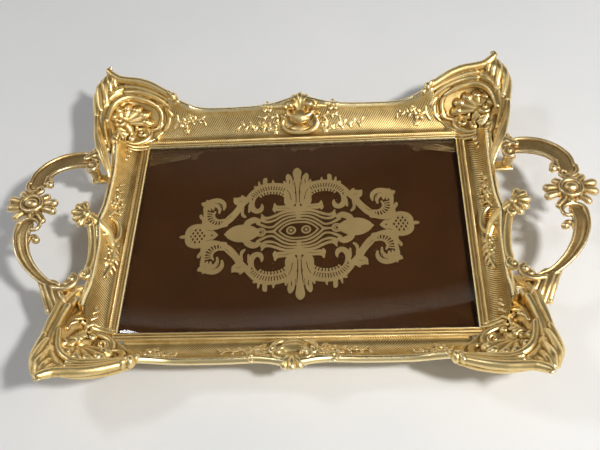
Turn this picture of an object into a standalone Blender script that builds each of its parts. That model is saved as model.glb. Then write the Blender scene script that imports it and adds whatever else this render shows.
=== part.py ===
"""Dresser vanity tray: a gilt cast frame around a glass plate that lies on lace and brown fabric.

Four mitred rails carry four corner castings, two crests, two side cartouches and two scroll
handles. Glass, lace, fabric panel and backing board drop in from below and four turn buttons
hold them. Origin: centre of the underside, on the table. +X long side, +Y back, +Z up.
"""

import math

import bmesh
import bpy
from mathutils import Matrix, Vector

MM = 0.001

# Overall sizes (mm). The sight opening is the glass area that the frame leaves free.
SIGHT_LENGTH = 254.0
SIGHT_DEPTH = 175.0

# Clearances
GAP = 0.3
MITRE_GAP = 0.3
SCREW_CLEARANCE = 0.3

# Heights of what lies in the frame, from the bottom up
FOOT_HEIGHT = 5.7
BOARD_THICKNESS = 2.6
PANEL_THICKNESS = 1.4
LACE_THICKNESS = 0.3
GLASS_THICKNESS = 2.8
LIP_THICKNESS = 2.5

# Rail section, measured outward from the sight edge
LIP_WIDTH = 4.5
SADDLE_OVERRUN = 2.7
SADDLE_INWARD = 2.5
EDGE_CLEARANCE = 0.5
BASE_WALL = 9.5
RIDGE_PLACE = 6.0
RIDGE_HEIGHT = 0.8
COVE_START = 9.0
COVE_WALL = 3.0
RIM_RADIUS = 2.8
LONG_RIM_OUT = 29.0
LONG_RIM_RISE = 11.5
SIDE_RIM_OUT = 22.5
SIDE_RIM_RISE = 11.0

# Underside hardware
FOOT_RADIUS = 4.5
FOOT_FROM_CORNER = 38.0
BRACE_THICKNESS = 1.2
BRACE_LEG = 26.0
BRACE_WIDTH = 8.6
BUTTON_THICKNESS = 1.2
BUTTON_RADIUS = 4.2
BUTTON_REACH = 15.0
BUTTON_PLACE = 62.0
SCREW_RADIUS = 1.2
SCREW_HEAD_RADIUS = 2.4
SCREW_HEAD_HEIGHT = 1.3
CREST_SCREW_OUT = 11.2
LUG_WIDTH = 9.0
LUG_THICKNESS = 3.0
LUG_REACH = 14.0
LUG_DROP = 1.2
SHORT_SCREW = 7.0
CORNER_SCREW_ABOVE_SIGHT = 3.0
CREST_SCREW_ABOVE_SIGHT = 2.4
SCREW_INTO_HANDLE = 8.0
TIP_SPACE = 0.5
BRACE_SCREW_FROM_CORNER = 5.0
BOSS_RADIUS = 3.4
POST_RADIUS = 3.8
POST_TOP_RADIUS = 4.6
POST_TOPS = (25.0, 20.0)

# Loft stations and the height that through holes reach above the sight edge
STATION_SPACING = 12.7
THROUGH_HOLE = 12.0
LUG_HOLE = 30.0

# Places along the side rails: a handle's two lugs and the cartouche's screw
CARTOUCHE_SCREW_Y = -11.0
HANDLE_ROOT_Y = 48.0
HANDLE_FOOT_Y = -60.0

# What follows from the sizes above
HALF_LENGTH = SIGHT_LENGTH / 2
HALF_DEPTH = SIGHT_DEPTH / 2
RAIL_BOTTOM = FOOT_HEIGHT + GAP
BOARD_Z = RAIL_BOTTOM + GAP
PANEL_Z = BOARD_Z + BOARD_THICKNESS + GAP
LACE_Z = PANEL_Z + PANEL_THICKNESS + GAP
GLASS_Z = LACE_Z + LACE_THICKNESS + GAP
LIP_Z = GLASS_Z + GLASS_THICKNESS + GAP
SIGHT_Z = LIP_Z + LIP_THICKNESS
BASE_OUT = LIP_WIDTH + BASE_WALL
BASE_MIDDLE = LIP_WIDTH + BASE_WALL / 2
HARDWARE_TOP = RAIL_BOTTOM - GAP
BRACE_SEAT = HARDWARE_TOP - BRACE_THICKNESS
BUTTON_SEAT = HARDWARE_TOP - BUTTON_THICKNESS
CORNER_SCREW = SIGHT_Z + CORNER_SCREW_ABOVE_SIGHT - BRACE_SEAT
CREST_SCREW = SIGHT_Z + CREST_SCREW_ABOVE_SIGHT - RAIL_BOTTOM
LUG_SCREW = LUG_THICKNESS + SCREW_INTO_HANDLE
MITRE_SETBACK = MITRE_GAP * math.sqrt(0.5)

PARTS = "dresser_vanity_tray"
WELD = 0.0005 * MM
FLAT_ANGLE = math.radians(2.0)

COLOURS = {  # name: (base colour, metallic, roughness)
    "gilt": ((0.72, 0.50, 0.19), 1.0, 0.32),
    "bronze_gilt": ((0.60, 0.40, 0.17), 1.0, 0.38),
    "glass": ((0.90, 0.93, 0.92), 0.0, 0.05),
    "lace": ((0.42, 0.35, 0.18), 0.0, 0.90),
    "brown_fabric": ((0.06, 0.028, 0.012), 0.0, 0.85),
    "board": ((0.33, 0.22, 0.12), 0.0, 0.80),
    "steel": ((0.55, 0.54, 0.52), 1.0, 0.35),
    "brass": ((0.70, 0.52, 0.24), 1.0, 0.35),
    "felt": ((0.10, 0.07, 0.05), 0.0, 0.95),
}


# ---------------------------------------------------------------- scene helpers


def clear_scene():
    for obj in list(bpy.data.objects):
        bpy.data.objects.remove(obj, do_unlink=True)


def collection(name):
    made = bpy.data.collections.new(name)
    bpy.context.scene.collection.children.link(made)
    return made


def material(name, kind):
    colour, metallic, roughness = COLOURS[kind]
    made = bpy.data.materials.new(name)
    made.use_nodes = True
    shader = made.node_tree.nodes["Principled BSDF"]
    shader.inputs["Base Color"].default_value = (*colour, 1.0)
    shader.inputs["Metallic"].default_value = metallic
    shader.inputs["Roughness"].default_value = roughness
    if kind == "glass":
        shader.inputs["Transmission Weight"].default_value = 0.9
    return made


def shape_from_mesh(mesh):
    """A working object in the cutters' collection."""
    obj = bpy.data.objects.new("shape", mesh)
    obj.hide_render = True
    obj.display_type = "WIRE"
    CUTTERS.objects.link(obj)
    return obj


def shape_from_bmesh(form):
    mesh = bpy.data.meshes.new("shape")
    form.to_mesh(mesh)
    form.free()
    return shape_from_mesh(mesh)


def settle(obj):
    """The object with its modifiers, or its curve, turned into one welded mesh."""
    graph = bpy.context.evaluated_depsgraph_get()
    mesh = bpy.data.meshes.new_from_object(obj.evaluated_get(graph))
    form = bmesh.new()
    form.from_mesh(mesh)
    form.transform(obj.matrix_world)
    bmesh.ops.remove_doubles(form, verts=form.verts, dist=WELD)
    bmesh.ops.dissolve_limit(form, angle_limit=FLAT_ANGLE, verts=form.verts, edges=form.edges)
    form.normal_update()
    bmesh.ops.triangulate(form, faces=form.faces)
    bmesh.ops.recalc_face_normals(form, faces=form.faces)
    form.to_mesh(mesh)
    form.free()
    bpy.data.objects.remove(obj, do_unlink=True)
    return shape_from_mesh(mesh)


def combine(base, others, operation):
    """The base joined with, or cut by, the other shapes, which are used up."""
    for other in others:
        step = base.modifiers.new(operation.lower(), "BOOLEAN")
        step.object = other
        step.operation = operation
        step.solver = "EXACT"
    made = settle(base)
    for other in others:
        bpy.data.objects.remove(other, do_unlink=True)
    return made


def fuse(shapes):
    return combine(shapes[0], shapes[1:], "UNION")


def cut(shape, cutters):
    return combine(shape, cutters, "DIFFERENCE")


def twin(shape, flip_x=False, flip_y=False):
    """A copy of the shape, mirrored across the middle planes that are asked for."""
    form = bmesh.new()
    form.from_mesh(shape.data)
    scale = Vector((-1.0 if flip_x else 1.0, -1.0 if flip_y else 1.0, 1.0))
    bmesh.ops.scale(form, vec=scale, verts=form.verts)
    if flip_x != flip_y:
        bmesh.ops.reverse_faces(form, faces=form.faces)
    return shape_from_bmesh(form)


def mirrored(shape, flip_x=False, flip_y=False):
    """The twin of a shape that is then no longer needed."""
    made = twin(shape, flip_x, flip_y)
    bpy.data.objects.remove(shape, do_unlink=True)
    return made


def finish(shape, name, kind, smooth=True, pivot=None):
    """Turns a working shape into a named part with its own material and its origin at its pivot."""
    mesh = shape.data
    bpy.data.objects.remove(shape, do_unlink=True)
    mesh.name = name
    mesh.materials.clear()
    mesh.materials.append(material(name, kind))
    if smooth:
        mesh.shade_smooth()
        mesh.set_sharp_from_angle(angle=math.radians(40.0))
    obj = bpy.data.objects.new(name, mesh)
    if pivot is not None:
        place = Vector(pivot) * MM
        mesh.transform(Matrix.Translation(-place))
        obj.location = place
    MODEL.objects.link(obj)
    return obj


# ---------------------------------------------------------------- shapes (all arguments in mm)


def box(low, high):
    form = bmesh.new()
    bmesh.ops.create_cube(form, size=1.0)
    low = Vector(low) * MM
    high = Vector(high) * MM
    bmesh.ops.scale(form, vec=high - low, verts=form.verts)
    bmesh.ops.translate(form, vec=(low + high) / 2, verts=form.verts)
    return shape_from_bmesh(form)


def cylinder(x, y, bottom, top, radius, top_radius=None, sides=16):
    form = bmesh.new()
    bmesh.ops.create_cone(
        form,
        cap_ends=True,
        segments=sides,
        radius1=radius * MM,
        radius2=(radius if top_radius is None else top_radius) * MM,
        depth=(top - bottom) * MM,
    )
    bmesh.ops.translate(form, vec=Vector((x, y, (bottom + top) / 2)) * MM, verts=form.verts)
    return shape_from_bmesh(form)


def ball(place, radii, turn=0.0, grow=0.0):
    """An ellipsoid with the given half sizes, turned about the vertical by degrees."""
    form = bmesh.new()
    bmesh.ops.create_uvsphere(form, u_segments=8, v_segments=5, radius=1.0)
    half = Vector([r + grow for r in radii]) * MM
    bmesh.ops.scale(form, vec=half, verts=form.verts)
    spin = Matrix.Rotation(math.radians(turn), 3, "Z")
    bmesh.ops.rotate(form, cent=(0, 0, 0), matrix=spin, verts=form.verts)
    bmesh.ops.translate(form, vec=Vector(place) * MM, verts=form.verts)
    return shape_from_bmesh(form)


def smooth_path(points, steps):
    """Catmull-Rom points through the given (x, y, z, radius) points."""
    rows = [Vector(p) for p in points]
    rows = [2 * rows[0] - rows[1]] + rows + [2 * rows[-1] - rows[-2]]
    path = []
    for a, b, c, d in zip(rows, rows[1:], rows[2:], rows[3:]):
        for i in range(steps):
            t = i / steps
            path.append(
                0.5 * ((2 * b) + (c - a) * t + (2 * a - 5 * b + 4 * c - d) * t**2 + (3 * b - a - 3 * c + d) * t**3)
            )
    return path + [rows[-2]]


def scroll(points, flat=1.0, steps=1, grow=0.0, roundness=1):
    """A tapered scroll: each point is (x, y, z, radius), flat is the section's height over its width."""
    curve = bpy.data.curves.new("scroll", "CURVE")
    curve.dimensions = "3D"
    curve.twist_mode = "Z_UP"
    curve.bevel_depth = MM
    curve.bevel_resolution = roundness
    curve.use_fill_caps = True
    path = smooth_path(points, steps)
    if grow:
        path[0] = path[0] + (path[0] - path[1]).normalized() * grow
        path[-1] = path[-1] + (path[-1] - path[-2]).normalized() * grow
    spline = curve.splines.new("POLY")
    spline.points.add(len(path) - 1)
    for point, row in zip(spline.points, path):
        point.co = (row[0] * MM, row[1] * MM, row[2] * MM / flat, 1.0)
        point.radius = row[3] + grow / flat
    obj = bpy.data.objects.new("scroll", curve)
    CUTTERS.objects.link(obj)
    obj.scale = (1.0, 1.0, flat)
    bpy.context.view_layer.update()
    return settle(obj)


def flat_plate(outline, bottom, thickness):
    """A plate with a flat outline, given as (x, y) points."""
    curve = bpy.data.curves.new("plate", "CURVE")
    curve.dimensions = "2D"
    curve.fill_mode = "BOTH"
    curve.extrude = thickness * MM / 2
    spline = curve.splines.new("POLY")
    spline.points.add(len(outline) - 1)
    for point, (x, y) in zip(spline.points, outline):
        point.co = (x * MM, y * MM, 0.0, 1.0)
    spline.use_cyclic_u = True
    obj = bpy.data.objects.new("plate", curve)
    CUTTERS.objects.link(obj)
    obj.location = (0.0, 0.0, (bottom + thickness / 2) * MM)
    bpy.context.view_layer.update()
    return settle(obj)


def loft(sections):
    """A closed body through sections that all have the same number of points."""
    form = bmesh.new()
    rings = [[form.verts.new(Vector(p) * MM) for p in section] for section in sections]
    for ring, following in zip(rings, rings[1:]):
        for i, vert in enumerate(ring):
            j = (i + 1) % len(ring)
            form.faces.new((vert, ring[j], following[j], following[i]))
    form.faces.new(list(reversed(rings[0])))
    form.faces.new(rings[-1])
    form.normal_update()
    bmesh.ops.triangulate(form, faces=form.faces)
    bmesh.ops.recalc_face_normals(form, faces=form.faces)
    return shape_from_bmesh(form)


def shell(surface, across, along, thickness):
    """A bent plate: surface(s, t) gives its top for s and t from 0 to 1."""
    form = bmesh.new()
    bmesh.ops.create_grid(form, x_segments=across, y_segments=along, size=0.5)
    for vert in form.verts:
        vert.co = Vector(surface(vert.co.x + 0.5, vert.co.y + 0.5)) * MM
    obj = shape_from_bmesh(form)
    skin = obj.modifiers.new("skin", "SOLIDIFY")
    skin.thickness = thickness * MM
    skin.offset = -1.0
    return settle(obj)


# ---------------------------------------------------------------- the rails


def bump(distance, width):
    return math.exp(-((distance / width) ** 2))


def long_rim(x):
    """Rim centre of a long rail: how far out and how far up, at x along the rail."""
    from_corner = HALF_LENGTH - abs(x)
    out = LONG_RIM_OUT + 4.8 * bump(x, 16.0) + 3.4 * bump(from_corner - 18.0, 14.0)
    rise = LONG_RIM_RISE + 5.8 * bump(x, 27.0) + 11.0 * bump(from_corner - 18.0, 17.0)
    return out, rise


def side_rim(y):
    """Rim centre of a side rail, at y along the rail."""
    from_corner = HALF_DEPTH - abs(y)
    out = SIDE_RIM_OUT + 2.0 * bump(y, 12.0)
    rise = SIDE_RIM_RISE + 3.0 * bump(y, 16.0) + 8.0 * bump(from_corner - 8.0, 18.0)
    return out, rise


def rail_top(out, rise):
    """Top of the rail section from the sight edge to the outside of the rim, as (out, height)."""
    ridge = RIDGE_PLACE
    top = [
        (0.0, -0.9),
        (0.9, 0.0),
        (2.2, -0.8),
        (ridge - 1.6, -0.8),
        (ridge, RIDGE_HEIGHT),
        (ridge + 1.6, -0.8),
        (COVE_START, -1.0),
    ]
    inner = out - 0.8 * RIM_RADIUS
    for i in range(1, 4):
        t = i / 3
        top.append((COVE_START + (inner - COVE_START) * t, -1.0 + (rise + 1.2) * t**1.9))
    for degrees in (105.0, 60.0, 20.0, -20.0):
        angle = math.radians(degrees)
        top.append((out + RIM_RADIUS * math.cos(angle), rise + RIM_RADIUS * math.sin(angle)))
    return [(u, SIGHT_Z + h) for u, h in top]


def rail_section(out, rise):
    """The whole rail section: top, underside of the cove, base wall and rebate."""
    section = rail_top(out, rise)
    under = out - 0.4 * RIM_RADIUS
    foot = SIGHT_Z - COVE_WALL - 1.5
    section.append((under, SIGHT_Z + rise - RIM_RADIUS))
    for i in (2, 1):
        t = i / 3
        section.append((BASE_OUT + (under - BASE_OUT) * t, foot + (rise + 1.2) * t**1.7))
    section += [(BASE_OUT, foot), (BASE_OUT, RAIL_BOTTOM), (LIP_WIDTH, RAIL_BOTTOM)]
    section += [(LIP_WIDTH, LIP_Z), (0.0, LIP_Z)]
    return section


def saddle_section(out, rise):
    """What a casting that sits on the rail is cut by: all below the rail's top, plus a gap."""
    top = [(u, h + GAP) for u, h in rail_top(out, rise)]
    side = out + RIM_RADIUS + GAP
    top = [(-SADDLE_INWARD, SIGHT_Z - 0.5)] + top[:-2] + [(side, SIGHT_Z + rise + 0.4 * RIM_RADIUS)]
    return top + [(side, -8.0), (-SADDLE_INWARD, -8.0)]


def rail_stations(half):
    """Places along a rail, ending short of the sight corner so that they stay clear of the mitre."""
    reach = half - SADDLE_INWARD - 0.5
    count = 2 * round(half / STATION_SPACING)
    return [reach * (2 * i / count - 1.0) for i in range(count + 1)]


def swept_rail(half, half_across, rim, section, end_gap, along_x):
    """The back rail, or the right rail where along_x is false, mitred at both ends."""
    last = half + BASE_OUT

    def mitre(sign):
        ring = section(*rim(last))
        return [(sign * (half + u - end_gap), half_across + u, h) for u, h in ring]

    rows = [mitre(-1)]
    for place in rail_stations(half):
        rows.append([(place, half_across + u, h) for u, h in section(*rim(place))])
    rows.append(mitre(1))
    if not along_x:
        rows = [[(y, x, h) for x, y, h in row] for row in rows]
    return loft(rows)


def long_rail(section=rail_section, end_gap=MITRE_SETBACK):
    return swept_rail(HALF_LENGTH, HALF_DEPTH, long_rim, section, end_gap, True)


def side_rail(section=rail_section, end_gap=MITRE_SETBACK):
    return swept_rail(HALF_DEPTH, HALF_LENGTH, side_rim, section, end_gap, False)


def saddles():
    """Cutters for a casting on the back right quarter of the frame."""
    return [long_rail(saddle_section, -SADDLE_OVERRUN), side_rail(saddle_section, -SADDLE_OVERRUN)]


# ---------------------------------------------------------------- places of the fasteners


def brace_screws(x_side, y_side):
    """The long rail's screw, which also holds the corner casting, and the side rail's screw."""
    back = BRACE_SCREW_FROM_CORNER
    long_screw = (x_side * (HALF_LENGTH - back), y_side * (HALF_DEPTH + BASE_MIDDLE))
    side_screw = (x_side * (HALF_LENGTH + BASE_MIDDLE), y_side * (HALF_DEPTH - back))
    return long_screw, side_screw


def button_places():
    return [(x * BUTTON_PLACE, y * (HALF_DEPTH + BASE_MIDDLE), y) for y in (1, -1) for x in (-1, 1)]


def foot_places():
    along = HALF_LENGTH - FOOT_FROM_CORNER
    return [(x * along, y * (HALF_DEPTH + BASE_MIDDLE)) for y in (1, -1) for x in (-1, 1)]


def lug_middle():
    return HALF_LENGTH + SIDE_RIM_OUT + RIM_RADIUS + LUG_REACH - LUG_WIDTH / 2


def lug_top(y):
    return SIGHT_Z + side_rim(y)[1] - LUG_DROP


def screw(x, y, seat, length):
    """A pan head screw that points up: seat is the height of the face its head bears on."""
    head_top = seat - GAP
    head = cylinder(x, y, head_top - SCREW_HEAD_HEIGHT, head_top, 0.75 * SCREW_HEAD_RADIUS, SCREW_HEAD_RADIUS)
    shank = cylinder(x, y, head_top - 0.5 * SCREW_HEAD_HEIGHT, head_top + length, SCREW_RADIUS, sides=12)
    return fuse([head, shank])


def screw_hole(x, y, bottom, top):
    """Clearance round a screw's shank, ending above its tip."""
    return cylinder(x, y, bottom, top, SCREW_RADIUS + SCREW_CLEARANCE, sides=12)


# ---------------------------------------------------------------- cast ornaments


def corner_surface(s, t):
    """Hollow shell of a corner casting: s runs from the long rail round to the side rail, t outward."""
    inner = smooth_path(CORNER_INNER, 1)
    outer = smooth_path(CORNER_OUTER, 1)

    def along(row):
        place = s * (len(row) - 1)
        i = min(int(place), len(row) - 2)
        return row[i].lerp(row[i + 1], place - i)

    low = along(inner)
    high = along(outer)
    x = low[0] + (high[0] - low[0]) * t
    y = low[1] + (high[1] - low[1]) * t
    z = low[2] + (high[2] - low[2]) * (0.25 * t + 0.75 * t * t)
    return HALF_LENGTH + x, HALF_DEPTH + y, SIGHT_Z + z


# Corner castings: (outward in x, outward in y, above the sight edge, radius) from the sight corner
CORNER_INNER = [
    (-19.0, 25.0, 9.0, 0.0),
    (-12.0, 17.0, 3.5, 0.0),
    (-4.0, 9.0, 2.0, 0.0),
    (3.0, 4.0, 2.0, 0.0),
    (9.0, -4.0, 2.5, 0.0),
    (16.0, -12.0, 5.0, 0.0),
    (20.0, -20.0, 10.0, 0.0),
]
CORNER_OUTER = [
    (-19.0, 36.0, 25.0, 0.0),
    (-6.0, 42.5, 28.5, 0.0),
    (12.0, 46.0, 32.5, 0.0),
    (32.0, 40.0, 33.0, 0.0),
    (38.0, 20.0, 28.0, 0.0),
    (34.0, 0.0, 24.0, 0.0),
    (29.0, -16.0, 22.0, 0.0),
]
CORNER_LIP = [
    (-21.5, 34.5, 23.5, 3.0),
    (-12.0, 39.1, 26.6, 3.2),
    (-2.0, 43.4, 30.3, 3.4),
    (8.0, 45.8, 32.7, 3.4),
    (18.0, 46.5, 34.0, 3.2),
    (27.0, 48.4, 36.3, 3.0),
    (30.5, 50.8, 38.2, 2.6),
]
BACK_LEAF = [
    (35.0, 8.0, 27.0, 4.5),
    (36.0, -8.0, 26.5, 4.0),
    (30.0, -22.0, 27.0, 3.6),
    (24.0, -37.0, 23.5, 3.2),
    (21.5, -47.0, 17.5, 2.6),
]
FRONT_LEAF = [
    (35.0, 8.0, 27.0, 4.5),
    (35.5, -6.0, 26.0, 4.2),
    (32.5, -15.0, 24.0, 3.4),
]
CORNER_SCROLL = [
    (-22.0, 17.0, 9.0, 2.0),
    (-8.0, 21.0, 12.0, 2.6),
    (5.0, 30.0, 18.0, 3.0),
    (17.0, 33.0, 24.0, 3.0),
    (26.0, 26.0, 27.0, 3.0),
    (29.0, 14.0, 25.5, 2.6),
]
CORNER_HOOK = [
    (14.0, -9.0, 4.5, 2.4),
    (5.0, -10.0, 3.6, 2.4),
    (0.5, -3.0, 3.2, 2.4),
    (3.0, 5.0, 3.6, 2.4),
    (11.0, 8.0, 6.5, 2.6),
]


def from_sight_corner(points):
    return [(HALF_LENGTH + x, HALF_DEPTH + y, SIGHT_Z + z, r) for x, y, z, r in points]


def corner_at(x, y, z):
    return HALF_LENGTH + x, HALF_DEPTH + y, SIGHT_Z + z


def corner_shape(leaf):
    """A corner casting on the back right quarter, before it is cut to the frame."""
    shapes = [shell(corner_surface, 8, 4, 3.2)]
    shapes.append(scroll(from_sight_corner(CORNER_LIP)))
    shapes.append(scroll(from_sight_corner(leaf), flat=0.8))
    shapes.append(scroll(from_sight_corner(CORNER_SCROLL)))
    shapes.append(scroll(from_sight_corner(CORNER_HOOK), flat=0.9))
    shapes.append(ball(corner_at(-21.0, 34.2, 23.6), (3.4, 4.8, 4.8), turn=25.0))
    shapes.append(ball(corner_at(31.0, 51.0, 38.6), (3.2, 3.2, 3.2)))
    shapes.append(ball(corner_at(33.0, 29.0, 29.5), (9.4, 12.0, 8.4), turn=-12.0))
    shapes.append(ball(corner_at(19.0, 8.0, 10.5), (6.0, 6.0, 6.0)))
    shapes.append(ball(corner_at(-12.0, 24.0, 12.0), (6.5, 4.5, 5.0), turn=30.0))
    boss_x, boss_y = brace_screws(1, 1)[0]
    shapes.append(cylinder(boss_x, boss_y, SIGHT_Z - 4.0, SIGHT_Z + 6.5, BOSS_RADIUS))
    return fuse(shapes)


def crest_at(x, out, rise):
    return x, HALF_DEPTH + out, SIGHT_Z + rise


def crest_shape():
    """Crest on the middle of the back rail: palmette on the rim, cartouche and sprays on the cove."""
    shapes = [ball(crest_at(0.0, 21.0, 9.5), (17.0, 12.0, 6.0))]
    shapes.append(ball(crest_at(0.0, 13.5, 2.2), (6.5, 5.0, 3.4)))
    for degrees in (-60.0, -30.0, 0.0, 30.0, 60.0):
        angle = math.radians(degrees)
        tip_x = 11.5 * math.sin(angle)
        tip_out = 29.0 + 10.0 * math.cos(angle)
        rib = [(0.6 * tip_x, 26.0, 16.5, 1.8), (0.8 * tip_x, 32.5, 19.5, 2.4), (tip_x, tip_out, 18.5, 2.2)]
        shapes.append(scroll([(x, HALF_DEPTH + out, SIGHT_Z + z, r) for x, out, z, r in rib]))
    for side in (-1, 1):
        arm = [
            (side * 5.0, 28.0, 15.0, 3.2),
            (side * 15.0, 27.0, 14.5, 3.0),
            (side * 23.0, 22.0, 9.5, 2.4),
            (side * 33.0, 19.0, 6.2, 2.0),
            (side * 46.0, 19.5, 5.6, 1.6),
        ]
        shapes.append(scroll([(x, HALF_DEPTH + out, SIGHT_Z + z, r) for x, out, z, r in arm]))
        shapes.append(ball(crest_at(side * 9.5, 30.0, 18.6), (3.8, 3.8, 3.2)))
        shapes.append(ball(crest_at(side * 27.5, 27.6, 16.0), (4.6, 4.6, 3.6)))
        shapes.append(scroll([
            (side * 15.0, HALF_DEPTH + 25.5, SIGHT_Z + 14.0, 2.0),
            (side * 26.0, HALF_DEPTH + 26.5, SIGHT_Z + 14.5, 2.2),
        ]))
    return fuse(shapes)


def side_at(out, y, rise):
    return HALF_LENGTH + out, y, SIGHT_Z + rise


def cartouche_shape():
    """Shell and scroll cartouche on the middle of the right rail."""
    body = [(27.5, 3.0, 17.5, 5.2), (24.0, -5.0, 15.5, 4.4), (16.0, -12.0, 6.8, 4.0), (12.0, -20.0, 3.6, 2.6)]
    spray = [(13.0, 30.0, 4.5, 1.4), (13.5, 18.0, 4.6, 2.2), (15.5, 5.0, 6.0, 2.6), (22.0, -2.0, 12.5, 3.2)]
    tail = [(12.0, -18.0, 3.8, 2.4), (13.0, -34.0, 4.4, 2.2), (14.0, -48.0, 4.8, 1.8), (13.0, -60.0, 4.4, 1.4)]
    band = [(25.5, -6.0, 16.5, 2.8), (24.8, -20.0, 14.6, 2.6), (22.8, -36.0, 14.0, 2.6), (23.5, -48.0, 16.0, 2.6)]
    shapes = []
    for points in (body, spray, tail, band):
        shapes.append(scroll([(HALF_LENGTH + out, y, SIGHT_Z + z, r) for out, y, z, r in points]))
    shapes.append(ball(side_at(31.0, 2.5, 19.0), (7.0, 7.5, 4.6)))
    shapes.append(ball(side_at(24.5, -50.5, 17.5), (4.0, 4.0, 3.6)))
    shapes.append(ball(side_at(CREST_SCREW_OUT + 0.4, CARTOUCHE_SCREW_Y, 2.6), (4.8, 5.5, 3.6)))
    return fuse(shapes)


# Handle: (outward from the sight edge, y, above the sight edge, radius)
HANDLE_ARM = [
    (32.5, 45.0, 25.0, 4.4),
    (34.5, 51.5, 25.0, 6.6),
    (44.0, 53.5, 25.0, 7.8),
    (55.0, 51.0, 26.0, 8.0),
    (64.5, 44.5, 27.5, 7.6),
    (70.5, 34.5, 29.0, 6.8),
    (72.0, 24.0, 30.0, 5.4),
]
HANDLE_BOSS = [
    (72.0, 25.0, 30.0, 5.6),
    (71.0, 14.0, 31.0, 9.0),
    (71.0, 3.0, 31.0, 9.6),
    (72.5, -8.0, 30.0, 7.6),
    (75.0, -17.0, 29.0, 4.6),
]
HANDLE_LOWER = [
    (75.5, -14.0, 29.0, 4.2),
    (76.5, -24.0, 28.0, 4.2),
    (72.5, -36.0, 26.0, 4.4),
    (64.0, -47.0, 23.5, 4.6),
    (53.0, -55.0, 21.5, 4.6),
    (43.0, -58.5, 20.0, 4.4),
    (35.0, -57.0, 19.5, 3.8),
]
HANDLE_FOOT = [
    (68.0, -44.0, 24.0, 3.6),
    (58.0, -57.0, 22.0, 6.0),
    (48.0, -67.0, 20.0, 8.6),
    (42.5, -77.0, 18.5, 6.6),
]
HANDLE_HEEL = [
    (49.0, -61.5, 20.0, 6.0),
    (40.0, -61.5, 19.5, 5.6),
    (32.5, -61.0, 19.0, 4.4),
]


def handle_shape(grow=0.0):
    """The right handle; grow makes the cutter that keeps its neighbours clear of it."""
    shapes = []
    flattened = (
        (HANDLE_ARM, 0.62),
        (HANDLE_BOSS, 0.68),
        (HANDLE_LOWER, 0.9),
        (HANDLE_FOOT, 0.5),
        (HANDLE_HEEL, 0.6),
    )
    for points, flat in flattened:
        placed = [(HALF_LENGTH + out, y, SIGHT_Z + z, r) for out, y, z, r in points]
        shapes.append(scroll(placed, flat=flat, grow=grow, steps=2))
    for place, radii in (
        ((87.0, 8.5, 31.0), (5.4, 4.8, 4.4)),
        ((57.5, 1.0, 31.0), (5.0, 4.6, 4.2)),
        ((69.0, 22.0, 31.0), (4.2, 4.2, 4.0)),
        ((80.0, 9.0, 31.0), (6.0, 4.4, 4.0)),
        ((64.0, 1.5, 31.0), (6.0, 4.4, 4.0)),
        ((65.5, -22.0, 27.5), (3.4, 3.4, 3.4)),
        ((69.5, -17.0, 28.5), (4.6, 4.2, 3.6)),
        ((37.0, -52.5, 19.5), (3.6, 3.6, 3.4)),
    ):
        shapes.append(ball(side_at(*place), radii, grow=grow))
    root_x = lug_middle()
    for y, top in zip((HANDLE_ROOT_Y, HANDLE_FOOT_Y), POST_TOPS):
        low = lug_top(y) + GAP - grow
        high = SIGHT_Z + top
        shapes.append(cylinder(root_x, y, low, high, POST_RADIUS + grow, POST_TOP_RADIUS + grow, sides=12))
    return fuse(shapes)


# ---------------------------------------------------------------- assembly


def rail_holes(long_side):
    """Cutters for the screws that enter the back rail, or the right rail."""
    through = SIGHT_Z + THROUGH_HOLE
    tip = HARDWARE_TOP + SHORT_SCREW
    if long_side:
        places = [(*brace_screws(side, 1)[0], through) for side in (-1, 1)]
        places += [(x, y, tip) for x, y, side in button_places() if side > 0]
        places.append((0.0, HALF_DEPTH + CREST_SCREW_OUT, through))
    else:
        places = [(*brace_screws(1, side)[1], tip) for side in (-1, 1)]
        places.append((HALF_LENGTH + CREST_SCREW_OUT, CARTOUCHE_SCREW_Y, through))
        places += [(lug_middle(), y, SIGHT_Z + LUG_HOLE) for y in (HANDLE_ROOT_Y, HANDLE_FOOT_Y)]
    return [screw_hole(x, y, -1.0, top) for x, y, top in places]


def lugs():
    """Ears on the right rail that the handle stands on."""
    start = HALF_LENGTH + SIDE_RIM_OUT - 2.0
    end = HALF_LENGTH + SIDE_RIM_OUT + RIM_RADIUS + LUG_REACH
    shapes = []
    for y in (HANDLE_ROOT_Y, HANDLE_FOOT_Y):
        low = (start, y - LUG_WIDTH / 2, lug_top(y) - LUG_THICKNESS)
        shapes.append(box(low, (end, y + LUG_WIDTH / 2, lug_top(y))))
    return shapes


def build_rails():
    back = cut(long_rail(), rail_holes(True))
    finish(twin(back, flip_y=True), "rail_front", "gilt")
    finish(back, "rail_back", "gilt")
    right = cut(fuse([side_rail()] + lugs()), rail_holes(False))
    finish(twin(right, flip_x=True), "rail_left", "gilt")
    finish(right, "rail_right", "gilt")


def lug_clearance():
    """Space round the right rail's lugs that the corner castings leave free."""
    start = HALF_LENGTH + SIDE_RIM_OUT
    end = HALF_LENGTH + SIDE_RIM_OUT + RIM_RADIUS + LUG_REACH + GAP
    shapes = []
    for y in (HANDLE_ROOT_Y, HANDLE_FOOT_Y):
        half = LUG_WIDTH / 2 + GAP
        low = (start, y - half, lug_top(y) - LUG_THICKNESS - GAP)
        shapes.append(box(low, (end, y + half, lug_top(y) + GAP)))
    return shapes


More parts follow.
